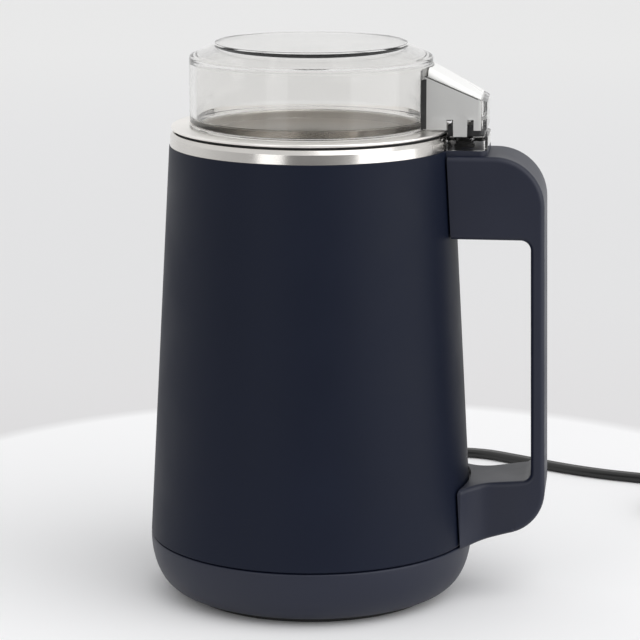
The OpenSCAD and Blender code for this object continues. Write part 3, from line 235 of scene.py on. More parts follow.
def wire(tree, *links):
    """Joins sockets, each written as its node's name, a point, and its own name or number."""
    for link in links:
        (giver, out), (taker, into) = (end.split(".") for end in link.split(" > "))
        tree.links.new(tree.nodes[giver].outputs[int(out) if out.isdigit() else out],
                       tree.nodes[taker].inputs[int(into) if into.isdigit() else into])


# Moulded plastic, vinyl and rubber share one effect: fine pits for the bump, and slow
# patches, some smooth and some rubbed, that vary the shine and the tone.
grain = effect("moulded_grain", {"Size": 2500, "Roughness": 0.5, "Patches": 0.06},
               ["Height", "Roughness", "Tone"])
add_node(grain, "place", "TexCoord")
add_node(grain, "pits", "TexNoise", Detail=3)
add_node(grain, "patches", "TexNoise", Scale=34, Detail=4)
add_node(grain, "spread", "MapRange", From_Min=0.3, From_Max=0.7, To_Min=-1, To_Max=1)
add_node(grain, "shine", "Math", "MULTIPLY_ADD")
wire(grain, "place.Object > pits.Vector", "place.Object > patches.Vector", "given.Size > pits.Scale",
     "patches.Fac > spread.Value", "spread.Result > shine.0", "given.Patches > shine.1",
     "given.Roughness > shine.2", "pits.Fac > gives.Height", "shine.Value > gives.Roughness",
     "patches.Fac > gives.Tone")


def surfaced(name, group, values, tones, tone_end, depth, step, **sockets):
    """Material with a group for its shine, its tone between two colours, and its bump."""
    material = bpy.data.materials.new(name)
    material.use_nodes = True
    tree = material.node_tree
    put(tree.nodes["Principled BSDF"], **sockets)
    texture = add_node(tree, "texture", "Group")
    texture.node_tree = group
    put(texture, **values)
    set_ramp(add_node(tree, "tone", "ValToRGB"), (0.3, tones[0]), (tone_end, tones[1]))
    add_node(tree, "bump", "Bump", Strength=depth, Distance=step * mm)
    wire(tree, "texture.Tone > tone.Fac", "tone.Color > Principled BSDF.Base Color",
         "texture.Height > bump.Height", "bump.Normal > Principled BSDF.Normal",
         "texture.Roughness > Principled BSDF.Roughness")
    return material


def moulded(name, color, roughness, size, depth=0.12, patches=0.06, dust=1.12, **sockets):
    """Moulded material: its colour drifts a little with the patches, over fine pits."""
    return surfaced(name, grain, {"Size": size, "Roughness": roughness, "Patches": patches},
                    ([c / dust for c in color], [c * dust for c in color]), 0.75, depth, 0.1, **sockets)


def finish_with(material, *pieces):
    for piece in pieces:
        piece.data.materials.clear()
        piece.data.materials.append(material)


cord_line = smooth_route(cord_route + coil_route + tail_route, 3)
cord = swept("mains_cord", cord_line, oval(cord_width, cord_height, 10, cord_groove))
flex_vinyl = moulded("flex_vinyl", linear(26, 26, 26), 0.36, size=1800)
finish_with(flex_vinyl, cord)
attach(cord, "housing")
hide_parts("cord_tube", "cord_coil", "cord_tail")

# --- Strain relief ---
# Soft black vinyl sleeve moulded round the flex. It tapers over seven ribs, and
# its flanged neck is held in the wall of the base cap.
cord_exit_z, relief_corner = 11, 1.9
relief_flange_y, relief_start_y, relief_end_y = 46, 55.4, 88
relief_flange, relief_neck, flange_thickness = (10.4, 9), (7.8, 6.8), 1.6
first_rib, last_rib, relief_ribs = (9.6, 7.4), (7.4, 5.4), 7
rib_pitch = (relief_end_y - relief_start_y) / relief_ribs


def stepped_sleeve(name, stations, level, corner):
    """Rounded block along Y, extruded from station to station of (y, width, height)."""
    y, width, height = stations[0]
    piece = added(name, bpy.ops.mesh.primitive_plane_add, size=mm, location=(0, y * mm, level * mm),
                  rotation=(math.pi / 2, 0, 0))
    piece.scale = (width, height, 1)
    bpy.ops.object.transform_apply()
    bpy.ops.object.mode_set(mode="EDIT")
    bpy.ops.mesh.select_all(action="SELECT")
    bpy.ops.mesh.bevel(offset=corner * mm, segments=4, affect="VERTICES")
    bpy.ops.mesh.select_all(action="SELECT")
    for before, after in zip(stations, stations[1:]):
        bpy.ops.mesh.extrude_region_move(
            TRANSFORM_OT_translate={"value": (0, (after[0] - before[0]) * mm, 0)})
        bpy.ops.transform.resize(value=(after[1] / before[1], 1, after[2] / before[2]),
                                 center_override=(0, after[0] * mm, level * mm))
    smooth(closed_up(piece))
    return piece


neck_y = relief_flange_y + flange_thickness
stations = [(relief_flange_y, *relief_flange), (neck_y, *relief_flange), (neck_y, *relief_neck),
            (relief_start_y, *relief_neck)]
for rib in range(relief_ribs):
    share = rib / (relief_ribs - 1)
    width, height = (a + (b - a) * share for a, b in zip(first_rib, last_rib))
    for along, shift, thinner in ((0, 0, 0.5), (0, 0.3, 0), (0.5, 0, 0.1), (0.5, 0.3, 0.6), (0.6, 0, 1.3),
                                  (1 if share == 1 else 0.96, 0, 1.4)):
        y = relief_start_y + (rib + along) * rib_pitch + shift
        stations.append((y, width - thinner, height - thinner))
relief = stepped_sleeve("strain_relief_sleeve", stations, cord_exit_z, relief_corner)
finish_with(flex_vinyl, relief)
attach(relief, "housing")
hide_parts("strain_relief")

# --- Plug ---
# Flat two-pin plug moulded onto the flex, with finger grooves across its faces.
# The pins are nickel-plated brass, sleeved in black next to the body.
plug_place, plug_turn = (190, 87, 0), math.radians(17 - 90)
plug_length, plug_thickness = 36, 13.2
plug_side = [(0, 5), (plug_length - 12, 8), (plug_length - 2, 13), (plug_length, 13)]
groove_places, groove_width, groove_depth = (5, 8.2, 11.4, 14.6, 17.8), 1.4, 0.5
pin_radius, pin_length, pin_pitch, pin_root, pin_sleeve_length = 2, 19, 18.6, 4, 9.5


def drawn_plate(name, outline, low, high, flat=False):
    """Plate of an outline: upright, (x, z) and thick along Y, or flat, (x, y) and thick along Z."""
    piece = added(name, bpy.ops.mesh.primitive_circle_add, vertices=len(outline), radius=mm, fill_type="NGON")
    for vertex, (u, v) in zip(piece.data.vertices, outline):
        vertex.co = Vector((u, v, low) if flat else (u, low, v)) * mm
    bpy.ops.object.mode_set(mode="EDIT")
    bpy.ops.mesh.select_all(action="SELECT")
    thickness = (high - low) * mm
    bpy.ops.mesh.extrude_region_move(
        TRANSFORM_OT_translate={"value": (0, 0, thickness) if flat else (0, thickness, 0)})
    return closed_up(piece)


def rounded(corners, radii, steps=6):
    """Outline with each corner rounded to its own radius; a radius of 0 stays sharp."""
    outline = []
    for k, (corner, radius) in enumerate(zip(corners, radii)):
        b = Vector(corner)
        if radius == 0:
            outline.append(tuple(b))
            continue
        u = (Vector(corners[k - 1]) - b).normalized()
        w = (Vector(corners[(k + 1) % len(corners)]) - b).normalized()
        half = math.acos(max(-1, min(1, u.dot(w)))) / 2
        middle = b + (u + w).normalized() * radius / math.sin(half)
        first, last = (b + side * radius / math.tan(half) - middle for side in (u, w))
        start = math.atan2(first.y, first.x)
        sweep = (math.atan2(last.y, last.x) - start + math.pi) % (2 * math.pi) - math.pi
        outline += [(middle.x + radius * math.cos(start + sweep * j / steps),
                     middle.y + radius * math.sin(start + sweep * j / steps)) for j in range(steps + 1)]
    return outline


def edge_rounding(piece, width, segments=3, angle=60):
    """Bevels every edge sharper than the angle."""
    modified(piece, "BEVEL", width=width * mm, segments=segments, limit_method="ANGLE",
             angle_limit=math.radians(angle), use_clamp_overlap=False)


def combine(piece, operation, *others):
    """Cuts, joins or crosses a piece with others, which are used up."""
    for other in others:
        modified(piece, "BOOLEAN", operation=operation, solver="EXACT", object=other)
        bpy.data.objects.remove(other)
    return piece


def join(piece, *others):
    """Makes loose pieces one object."""
    pick(piece)
    for other in others:
        other.select_set(True)
    bpy.ops.object.join()
    return piece


def block(name, low, high):
    """Cube between two corners, in millimetres."""
    low, high = Vector(low), Vector(high)
    piece = added(name, bpy.ops.mesh.primitive_cube_add, size=1, location=(low + high) / 2 * mm)
    piece.scale = (high - low) * mm
    bpy.ops.object.transform_apply()
    return piece


def rod(name, x, y, z0, z1, radius, top_radius=None, sides=64):
    """Upright cylinder or cone, in millimetres."""
    piece = added(name, bpy.ops.mesh.primitive_cone_add, vertices=sides, radius1=radius * mm,
                  radius2=(radius if top_radius is None else top_radius) * mm, depth=(z1 - z0) * mm,
                  location=(x * mm, y * mm, (z0 + z1) / 2 * mm))
    bpy.ops.object.transform_apply()
    return piece


def set_down(piece, location=(0, 0, 0), tilt=0, turn=0):
    """Tips a piece about Y, turns it about Z, moves it in millimetres, and applies all to its mesh."""
    pick(piece)
    piece.rotation_euler = (0, tilt, turn)
    piece.location = Vector(location) * mm
    bpy.ops.object.transform_apply()
    return piece


plug = drawn_plate("plug_moulding", rounded([(x, -y) for x, y in plug_side] + plug_side[::-1],
                                            [2, 8, 1, 0.5, 0.5, 1, 8, 2]), 0, plug_thickness, flat=True)
edge_rounding(plug, 1.2, 4)
combine(plug, "DIFFERENCE", *[
    block("groove", (x, -20, z - groove_depth), (x + groove_width, 20, z + groove_depth))
    for x in groove_places for z in (0, plug_thickness)])
set_down(plug, plug_place, turn=plug_turn)
smooth(plug)
finish_with(flex_vinyl, plug)
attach(plug, "housing")
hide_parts("plug_body")


# Bright metal shares one effect: fine lines that run round the grinder's axis, with
# fingerprints that dull them.
brushing = effect("brushed_lines", {"Across": 9000, "Along": 60, "Roughness": 0.2, "Spread": 0.1},
                  ["Height", "Roughness", "Tone"])
for name, kind, operation in (
        ("place", "TexCoord", None), ("apart", "SeparateXYZ", None), ("flat", "CombineXYZ", None),
        ("reach", "VectorMath", "LENGTH"), ("turn", "VectorMath", "NORMALIZE"),
        ("along", "VectorMath", "SCALE"), ("across", "Math", "ADD"), ("far", "Math", "MULTIPLY"),
        ("up", "CombineXYZ", None), ("both", "VectorMath", "ADD"), ("spread", "Math", "MULTIPLY_ADD")):
    add_node(brushing, name, kind, operation)
add_node(brushing, "lines", "TexNoise", Scale=1, Detail=4, Roughness=0.7)
add_node(brushing, "prints", "TexNoise", Scale=60, Detail=5)
prints_share = 0.5
add_node(brushing, "mixed", "Math", "MULTIPLY_ADD").inputs[1].default_value = prints_share
add_node(brushing, "centred", "Math", "SUBTRACT").inputs[1].default_value = (1 + prints_share) / 2
wire(brushing, "place.Object > apart.0", "apart.X > flat.X", "apart.Y > flat.Y", "flat.0 > reach.0",
     "flat.0 > turn.0", "turn.0 > along.0", "given.Along > along.Scale", "reach.Value > across.0",
     "apart.Z > across.1", "across.0 > far.0", "given.Across > far.1", "far.0 > up.Z",
     "along.0 > both.0", "up.0 > both.1", "both.0 > lines.Vector", "place.Object > prints.Vector",
     "prints.Fac > mixed.0", "lines.Fac > mixed.2", "mixed.0 > centred.0", "centred.0 > spread.0",
     "given.Spread > spread.1", "given.Roughness > spread.2", "lines.Fac > gives.Height",
     "spread.0 > gives.Roughness", "prints.Fac > gives.Tone")


def metal(name, color, roughness, across, along, spread=0.15, depth=0.05, dust=1.05):
    """Metal with its turned or brushed lines as bump, and a tone that drifts a little."""
    return surfaced(name, brushing,
                    {"Across": across, "Along": along, "Roughness": roughness, "Spread": spread},
                    ([c / dust for c in color], [min(1, c * dust) for c in color]), 0.7, depth, 0.02,
                    Metallic=1)


pins, sleeves = [], []
for y in (-pin_pitch / 2, pin_pitch / 2):
    pin = rod("plug_pin", 0, y, plug_length - pin_root, plug_length + pin_length, pin_radius)
    edge_rounding(pin, 0.9, 4)
    sleeve = rod("pin_sleeve", 0, y, plug_length - pin_root + 1, plug_length + pin_sleeve_length,
                 pin_radius + 0.05)
    for made, group in ((pin, pins), (sleeve, sleeves)):
        group.append(set_down(made, (0, 0, plug_thickness / 2), tilt=math.pi / 2))
pins, sleeves = (set_down(join(*group), plug_place, turn=plug_turn) for group in (pins, sleeves))
nickel_plate = metal("nickel_plate", linear(200, 196, 186), 0.22, across=4000, along=200)
for piece, material in ((pins, nickel_plate), (sleeves, flex_vinyl)):
    smooth(piece)
    finish_with(material, piece)
    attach(piece, "housing")
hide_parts("plug_pins")

# --- Casing ---
# Tapered shell in navy plastic with a soft-touch coat. It is one moulding, open
# at both ends, with three screw posts inside near the foot.
body_base_radius, body_top_radius = 55.2, 47.7
seam_z, seam_gap, body_top_z = 20, 0.3, 154.2
body_wall = 2.4
base_screw_radius, base_screw_turns = 34, [math.radians(turn) for turn in (30, 150, 270)]
screw_bore, post_radius, post_foot, post_top = 1.7, 4, 24.5, 36.5


def body_radius(z):
    """Radius of the tapered casing at a height."""
    return body_base_radius + (body_top_radius - body_base_radius) * (z - seam_z) / (body_top_z - seam_z)


def turned(name, outline, steps=160, closed=True):
    """Outline of (radius, height) points spun round the Z axis; an open one ends on the axis."""
    piece = added(name, bpy.ops.mesh.primitive_circle_add, vertices=len(outline), radius=mm,
                  fill_type="NOTHING")
    for vertex, (radius, z) in zip(piece.data.vertices, outline):
        vertex.co = (radius * mm, 0, z * mm)
        vertex.select = False
    for edge in piece.data.edges:
        edge.select = not closed and all(outline[v][0] == 0 for v in edge.vertices)
    bpy.ops.object.mode_set(mode="EDIT")
    if not closed:
        bpy.ops.mesh.select_mode(type="EDGE")
        bpy.ops.mesh.delete(type="EDGE")
        bpy.ops.mesh.select_mode(type="VERT")
    bpy.ops.mesh.select_all(action="SELECT")
    bpy.ops.mesh.spin(steps=steps, angle=2 * math.pi, center=(0, 0, 0), axis=(0, 0, 1))
    return closed_up(piece, 0.002)


def box(x0, y0, x1, y1):
    """Corners of a rectangle, from two that lie opposite."""
    return [(x0, y0), (x1, y0), (x1, y1), (x0, y1)]


shell_low = seam_z + seam_gap
low_radius = body_radius(shell_low)
shell = turned("body_casing", rounded(
    [(low_radius, shell_low), (body_top_radius, body_top_z), (body_top_radius - body_wall, body_top_z),
     (low_radius - body_wall, shell_low)], [0.6, 0.35, 0.3, 0.3], 4))
posts = []
for turn in base_screw_turns:
    post = turned("screw_post", rounded(box(screw_bore, post_foot, post_radius, post_top),
                                        [0.2, 0.2, 0.6, 0.3]), 32)
    set_down(post, (base_screw_radius, 0, 0))
    rib = block("post_rib", (base_screw_radius + post_radius - 0.2, -1, post_foot),
                (body_base_radius - body_wall + 1, 1, post_top))
    posts.append(set_down(join(post, rib), turn=turn))
join(shell, *posts)
smooth(shell)
soft_touch_navy = moulded("soft_touch_navy", linear(15, 21, 37), 0.5, size=3200, depth=0.1, dust=1.05,
                          Specular_IOR_Level=0.16)
finish_with(soft_touch_navy, shell)
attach(shell, "housing")
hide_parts("body_shell")

# --- Base cap and foot ring ---
# Navy plastic cap that closes the casing from below, held by three screws in
# deep wells. Its floor has radial slots for the motor's air, and a soft ring in
# a groove keeps it from sliding.
foot_radius, foot_lift, cap_floor, cap_curve_steps = 45.5, 2, 4.4, 20
foot_ring_radius, foot_ring_half, foot_ring_top, play = 41.4, 2.2, 3.2, 0.1
ring_in, ring_out = foot_ring_radius - foot_ring_half, foot_ring_radius + foot_ring_half
cap_lip_top, cap_lip_thickness = 23.4, 1.8
vent_count, vent_middle, vent_half_length, vent_half_width = 14, 17, 9, 1.1
well_radius, well_top = 3.4, 6.6
clamp_x, clamp_y, clamp_radius, clamp_top = 7, 39, 2.6, 12.7
cradle_x, cradle_half, cradle_low_y, cradle_high_y, cradle_rise = 10.3, 1.2, -27, -19, 5
cord_bed_half_x, cord_bed_half_y, cord_bed_top = 2.7, 1, 9.3
cord_hole_size, cord_hole_corner = (8, 7), 1.4


def cap_curve(inwards):
    """Quarter oval from the underside up to the seam."""
    rise = seam_z - foot_lift - inwards
    return [(foot_radius - inwards + (body_base_radius - foot_radius) * math.sin(a),
             foot_lift + inwards + rise * (1 - math.cos(a)))
            for a in (math.pi / 2 * k / cap_curve_steps for k in range(cap_curve_steps + 1))]


groove_in, groove_out = ring_in - play, ring_out + play
lip_out = body_radius(cap_lip_top) - body_wall - play
lip_in = lip_out - cap_lip_thickness
outer_curve = cap_curve(0)
outer_curve[-1:] = [(body_base_radius - 0.02, seam_z - 0.55), (body_base_radius - 0.15, seam_z - 0.25),
                    (body_base_radius - 0.4, seam_z - 0.07), (body_base_radius - 0.7, seam_z)]
cap = turned("base_cap_moulding",
             [(0, foot_lift), (groove_in, foot_lift), (groove_in, foot_ring_top), (groove_out, foot_ring_top),
              (groove_out, foot_lift)] + outer_curve
             + [(lip_out, seam_z), (lip_out, cap_lip_top), (lip_in, cap_lip_top), (lip_in, seam_z - 4)]
             + cap_curve(body_wall)[-7::-1] + [(0, cap_floor)], closed=False)
slots, wells, bosses = [], [], []
for k in range(vent_count):
    vent = drawn_plate("vent", rounded(box(
        vent_middle - vent_half_length, -vent_half_width, vent_middle + vent_half_length, vent_half_width),
        [1] * 4, 4), foot_lift - 1, well_top - 0.6, flat=True)
    slots.append(set_down(vent, turn=2 * math.pi * (k + 0.5) / vent_count))
for turn in base_screw_turns:
    x, y = base_screw_radius * math.cos(turn), base_screw_radius * math.sin(turn)
    wells.append(rod("screw_well", x, y, 0, well_top, well_radius))
    boss = turned("screw_boss", box(screw_bore, well_top, post_radius, post_foot - play), 32)
    bosses.append(set_down(boss, (x, y, 0)))
cord_hole = stepped_sleeve("cord_hole", [(y, *cord_hole_size) for y in (47, 60)], cord_exit_z,
                           cord_hole_corner)
combine(cap, "DIFFERENCE", join(*slots), join(*wells), cord_hole)
cap_inside = cap_floor - 0.5
for x in (-clamp_x, clamp_x):
    bosses.append(rod("clamp_boss", x, clamp_y, cap_inside, clamp_top, clamp_radius, sides=32))
for x in (-cradle_x, cradle_x):
    bosses.append(block("capacitor_rib", (x - cradle_half, cradle_low_y, cap_inside),
                        (x + cradle_half, cradle_high_y, cap_floor + cradle_rise)))
bosses.append(block("cord_bed", (-cord_bed_half_x, clamp_y - cord_bed_half_y, cap_inside),
                    (cord_bed_half_x, clamp_y + cord_bed_half_y, cord_bed_top)))
join(cap, *bosses)
smooth(cap)
# Satin navy a shade lighter than the casing's: painted light, for the light that falls on the handle and on
# the cap.
satin_navy_painted_lighter = moulded("satin_navy_painted_lighter", linear(20, 25, 43), 0.46, size=3200, depth=0.1, dust=1.05,
                     Specular_IOR_Level=0.42)
finish_with(satin_navy_painted_lighter, cap)
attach(cap, "housing")
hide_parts("base_cap")

foot_ring = turned("foot_ring", rounded(
    [(ring_in, 0), (foot_ring_radius - 0.7, 0), (foot_ring_radius - 0.4, 0.4), (foot_ring_radius + 0.4, 0.4),
     (foot_ring_radius + 0.7, 0), (ring_out, 0), (ring_out, foot_ring_top), (ring_in, foot_ring_top)],
    [0.7, 0.15, 0.1, 0.1, 0.15, 0.7, 0, 0], 4), 128)
smooth(foot_ring)
foot_rubber = moulded("foot_rubber", linear(30, 30, 31), 0.7, size=1500, depth=0.2)
finish_with(foot_rubber, foot_ring)
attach(foot_ring, "housing")
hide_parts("foot_ring")

# --- Handle ---
# Hollow C in the same navy plastic, screwed on from inside the casing. Its colour
# is painted a shade lighter than the casing's, as painted light for the light that falls on it from the
# right. Its lower arm has a waist and flares out towards the body. A thin step round each root
# leaves a shadow gap, and a flat plinth on top carries the switch.
handle_reach, grip_lean, grip_thickness = 78.8, 2, 4.6
handle_half, handle_wall, handle_edge = 14, 2.8, 1.8
handle_top, upper_arm_z, lower_arm_top, lower_arm_rise = 152.7, 124.8, 40.5, 2.2
lower_arm_foot, lower_arm_slope = 19, 0.32
handle_root_x = body_top_radius - 10
lower_arm_z, upper_arm_middle, arm_waist, waist_end, waist_rise = 30, 139, 12.6, 6, 14
arm_flare, flare_reach, shadow_gap = 4.2, 8, 0.75
core_half_x, core_half_y, lower_core, upper_core = 6, 12, (22, 38.5), (126.6, 151)
plinth_z, collar_end_x, tab_half, tab_corner = 154.4, 59.893, 12, 3
plunger_x, plunger_radius = 51.593, 2.3
handle_screws, handle_screw_y, boss_radius, boss_length = ((54.1, 32), (48.8, 130.6)), 8.1, 3.1, 14


def grip_out(z):
    return handle_reach + grip_lean * (handle_top - z) / (handle_top - seam_z)


def arm_underside(x):
    return lower_arm_foot + lower_arm_slope * (x - body_base_radius + 2)


def arm_top(x):
    arm_length = handle_reach - grip_thickness - body_base_radius
    return lower_arm_top + lower_arm_rise * (x - body_base_radius) / arm_length


grip_low = grip_out(lower_arm_top) - grip_thickness
handle_corners = [(handle_root_x, arm_underside(handle_root_x)),
                  (grip_out(seam_z), arm_underside(grip_out(seam_z))),
                  (handle_reach, handle_top), (handle_root_x, handle_top), (handle_root_x, upper_arm_z),
                  (grip_out(upper_arm_z) - grip_thickness, upper_arm_z), (grip_low, arm_top(grip_low)),
                  (handle_root_x, arm_top(handle_root_x))]
handle = drawn_plate("handle_moulding", rounded(handle_corners, [3, 15, 17, 3, 3, 3.4, 3, 3], 14),
                     -handle_half, handle_half)
edge_rounding(handle, handle_edge, 6)


def choose(piece, kind, test):
    """Opens edit mode with the points, edges or faces that pass a test of place and direction."""
    pick(piece)
    mesh = piece.data
    for part in (*mesh.vertices, *mesh.edges, *mesh.polygons):
        part.select = False
    if kind == "FACE":
        for face in mesh.polygons:
            face.select = test(face.center / mm, face.normal)
    elif kind == "VERT":
        for vertex in mesh.vertices:
            vertex.select = test(vertex.co / mm, vertex.normal)
    else:
        for edge in mesh.edges:
            a, b = (mesh.vertices[v].co / mm for v in edge.vertices)
            edge.select = test((a + b) / 2, (b - a).normalized())
    bpy.context.tool_settings.mesh_select_mode = [kind == "VERT", kind == "EDGE", kind == "FACE"]
    bpy.ops.object.mode_set(mode="EDIT")


def casing_cone(grow, z0, z1):
    return rod("casing_cone", 0, 0, z0, z1, body_radius(z0) + grow, body_radius(z1) + grow, 160)


def plate_with_round_end(name, root, end, half, radius, steps, low, high):
    """Flat plate that reaches out along X, its two outer corners rounded."""
    return drawn_plate(name, rounded(box(root, -half, end, half), [0, radius, radius, 0], steps),
                       low, high, flat=True)


arm_wall = body_radius(lower_arm_z)
arm_stations = [-2, -0.4, 0.6, 1.6, 2.7, 3.8, 5, 6.5, 8, 10, 12, 14, 16, 18, 20]
for reach in arm_stations:
    choose(handle, "FACE", lambda at, normal: at.z < upper_arm_z)
    bpy.ops.mesh.bisect(plane_co=((arm_wall + reach) * mm, 0, 0), plane_no=(1, 0, 0))
    bpy.ops.object.mode_set(mode="OBJECT")
for reach in arm_stations:
    width = arm_waist + (handle_half - arm_waist) * eased(reach, waist_end, waist_end + waist_rise)
    width += arm_flare * max(0, 1 - reach / flare_reach) ** 2
    choose(handle, "VERT", lambda at, normal:
           at.z < 50 and abs(max(at.x, arm_wall + arm_stations[0]) - arm_wall - reach) < 0.02)
    bpy.ops.transform.resize(value=(1, width / handle_half, 1), center_override=(0, 0, 0))
    bpy.ops.object.mode_set(mode="OBJECT")
combine(handle, "DIFFERENCE", casing_cone(shadow_gap + play, 5, 170))
arm_cores = [block("arm_core", (wall - core_half_x, -core_half_y, low),
                   (wall + core_half_x, core_half_y, high))
             for wall, (low, high) in ((arm_wall, lower_core), (body_radius(upper_arm_middle), upper_core))]
plinth = plate_with_round_end("switch_plinth", handle_root_x, collar_end_x, tab_half, tab_corner, 8,
                              handle_top - 2, plinth_z)
edge_rounding(plinth, 0.3)
combine(handle, "UNION", plinth, *arm_cores)
cavity_x, upper_x, lower_x = handle_root_x - 1, handle_reach - handle_wall, grip_low
cavity_half, lower_cavity_half = handle_half - handle_wall, arm_waist - handle_wall
upper_cavity = drawn_plate("upper_cavity", rounded(
    [(cavity_x, upper_arm_z + handle_wall), (upper_x - 1, upper_arm_z + handle_wall),
     (upper_x, handle_top - handle_wall), (cavity_x, handle_top - handle_wall)],
    [0, 1, 12, 0]), -cavity_half, cavity_half)
lower_cavity = drawn_plate("lower_cavity", rounded(
    [(cavity_x, arm_underside(cavity_x) + handle_wall), (lower_x, arm_underside(lower_x) + handle_wall),
     (lower_x, arm_top(lower_x) - handle_wall), (cavity_x, arm_top(cavity_x) - handle_wall)],
    [0, 5, 2, 0]), -lower_cavity_half, lower_cavity_half)
combine(handle, "DIFFERENCE", casing_cone(play, 5, 170),
        rod("ring_room", 0, 0, body_top_z - 0.01, 170, body_top_radius + play),
        upper_cavity, lower_cavity, rod("plunger_bore", plunger_x, 0, 146, 160, plunger_radius + play / 2))
screw_bosses = [set_down(rod("screw_boss", 0, 0, 0, boss_length, boss_radius, sides=32), (x, y, z),
                         tilt=math.pi / 2)
                for x, z in handle_screws for y in (-handle_screw_y, handle_screw_y)]
join(handle, *screw_bosses)
smooth(handle)
# Painted light: the handle takes the lighter navy, for the light that falls on it from the right.
finish_with(satin_navy_painted_lighter, handle)
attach(handle, "housing")
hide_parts("handle_shell")

# --- Top ring ---
# Spun stainless trim round the top of the casing: an upright band with a turned
# finish, and a bright bevel that leans in over the gasket.
ring_out, ring_band_top, ring_top = body_top_radius - 0.2, 157.4, 158.9
top_ring = turned("top_ring", rounded(
    [(ring_out - 1, body_top_z), (ring_out, body_top_z), (ring_out - 0.2, ring_band_top),
     (ring_out - 0.9, ring_top), (ring_out - 1.8, ring_top), (ring_out - 1.8, ring_top - 0.8),
     (ring_out - 1, ring_band_top - 0.4)],
    [0, 0.15, 0.35, 0.3, 0.2, 0, 0.3], 4))
smooth(top_ring, 30)
turned_trim_steel = metal("turned_trim_steel", linear(214, 211, 207), 0.2, across=7000, along=40, depth=0.06)
finish_with(turned_trim_steel, top_ring)
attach(top_ring, "housing")
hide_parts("top_ring")

# --- Grinding bowl ---
# Deep-drawn stainless bowl with a flat rolled rim that the lid stands on, and a
# hole in its floor for the motor's shaft. The wall is polished below and satin
# towards the rim, and the floor is a darker steel: painted shade for the shadow on the bowl's floor.
bowl_radius, bowl_wall, bowl_floor, bowl_corner, bowl_hole = 38, 0.8, 118, 8, 10.3
rim_under, rim_top, rim_radius = 159.7, 160.7, 47
wall_foot, satin_start, satin_full = bowl_floor + 3, rim_top - 9.5, rim_top - 4
bowl = turned("grinding_bowl", rounded(
    [(bowl_hole, bowl_floor - bowl_wall), (bowl_radius + bowl_wall, bowl_floor - bowl_wall),
     (bowl_radius + bowl_wall, rim_under), (rim_radius, rim_under), (rim_radius, rim_top),
     (bowl_radius, rim_top), (bowl_radius, bowl_floor), (bowl_hole, bowl_floor)],
    [0, bowl_corner + bowl_wall, 0.3, 0.45, 0.45, 1.2, bowl_corner, 0], 8))
smooth(bowl, 40)
drawn_bowl_steel, drawn_wall_steel = (
    metal(name, linear(246, 243, 239), roughness, across=3500, along=30, depth=0.02, spread=0.08)
    for name, roughness in (("drawn_bowl_steel", 0.34), ("drawn_wall_steel", 0.3)))
# Painted shade: a darker steel for the bowl's floor, standing in for the shadow that lies there.
painted_shade_floor_steel = metal("painted_shade_floor_steel", linear(165, 162, 157), 0.4, across=2600, along=500, depth=0.08)
tree = drawn_wall_steel.node_tree
add_node(tree, "place", "TexCoord")
add_node(tree, "height", "SeparateXYZ")
add_node(tree, "satin", "MapRange", From_Min=satin_start * mm, From_Max=satin_full * mm,
         To_Min=0.12, To_Max=0.95)
wire(tree, "place.Object > height.0", "height.Z > satin.Value", "satin.Result > texture.Roughness")


def repaint(piece, slot, test):
    """Gives the faces that pass the test the material of a slot."""
    choose(piece, "FACE", test)
    piece.active_material_index = slot
    bpy.ops.object.material_slot_assign()
    deselect()


def off_axis(at):
    return math.hypot(at.x, at.y)


finish_with(drawn_bowl_steel, bowl)
for material in (painted_shade_floor_steel, drawn_wall_steel):
    bowl.data.materials.append(material)
# Painted shade: the floor takes the darker steel.
repaint(bowl, 1, lambda at, normal: off_axis(at) < bowl_radius - 2 and at.z < wall_foot and normal.z > 0.1)
repaint(bowl, 2, lambda at, normal: off_axis(at) < bowl_radius + 0.3 and wall_foot < at.z < rim_top - 0.5)
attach(bowl, "housing")
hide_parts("bowl")

# --- Lid ---
# Clear lid with a light smoke tint, moulded in one piece: a dome with a raised
# flat top, a skirt that drops into the bowl, and a tab over the switch. Two
# snap tongues stand free of the tab's side walls between relief slots.
lid_radius, lid_wall, lid_foot, lid_wall_top = 40.8, 2.2, 161.4, 184.1
disc_radius, shoulder_z, disc_top, ceiling = 32.2, 187.95, 188.6, 185.7
skirt_radius, skirt_drop = 37.5, 3.4
lid_inside, skirt_inside, skirt_foot = lid_radius - lid_wall, skirt_radius - 1.2, lid_foot - skirt_drop
lid = turned("lid_moulding", [(0, ceiling)] + rounded(
    [(0, ceiling), (disc_radius - 1, ceiling), (lid_inside, lid_wall_top - 1.4),
     (lid_inside, lid_foot + 2.4), (skirt_inside, lid_foot), (skirt_inside, skirt_foot),
     (skirt_radius, skirt_foot), (skirt_radius, lid_foot), (lid_radius, lid_foot),
     (lid_radius, lid_wall_top), (disc_radius + 0.3, shoulder_z), (disc_radius, shoulder_z + 0.1),
     (disc_radius, disc_top), (0, disc_top)],
    [0, 2, 2.2, 1, 0.6, 0.3, 0.4, 0.2, 0.25, 1.3, 0.2, 0, 0.15, 0], 6)[1:-1] + [(0, disc_top)], closed=False)
tab_z, tab_root_x, tab_end_x, tab_wall = 161.1, lid_radius - 6, collar_end_x - 0.4, 1.6
frame_top, tab_slope, shelf_top, shelf_thickness = 179, 0.42, 165.6, 1.2
tongue_x, tongue_width, tongue_foot, tongue_root = plunger_x - 3.15, 4.7, 159, tab_z + 4.5
relief_width, relief_half_depth, relief_top = 2.1, 3.2, tab_z + 3.6
rod_bore_radius, under_lid, over_lid = 2.15, 160, 200


def frame_z(x):
    """Height of the tab's sloping top."""
    return frame_top - tab_slope * (x - lid_radius + 1.5)


def tab_plan(name, inwards, z0, z1):
    return plate_with_round_end(name, tab_root_x, tab_end_x - inwards, tab_half - inwards,
                                tab_corner - inwards, 8, z0, z1)


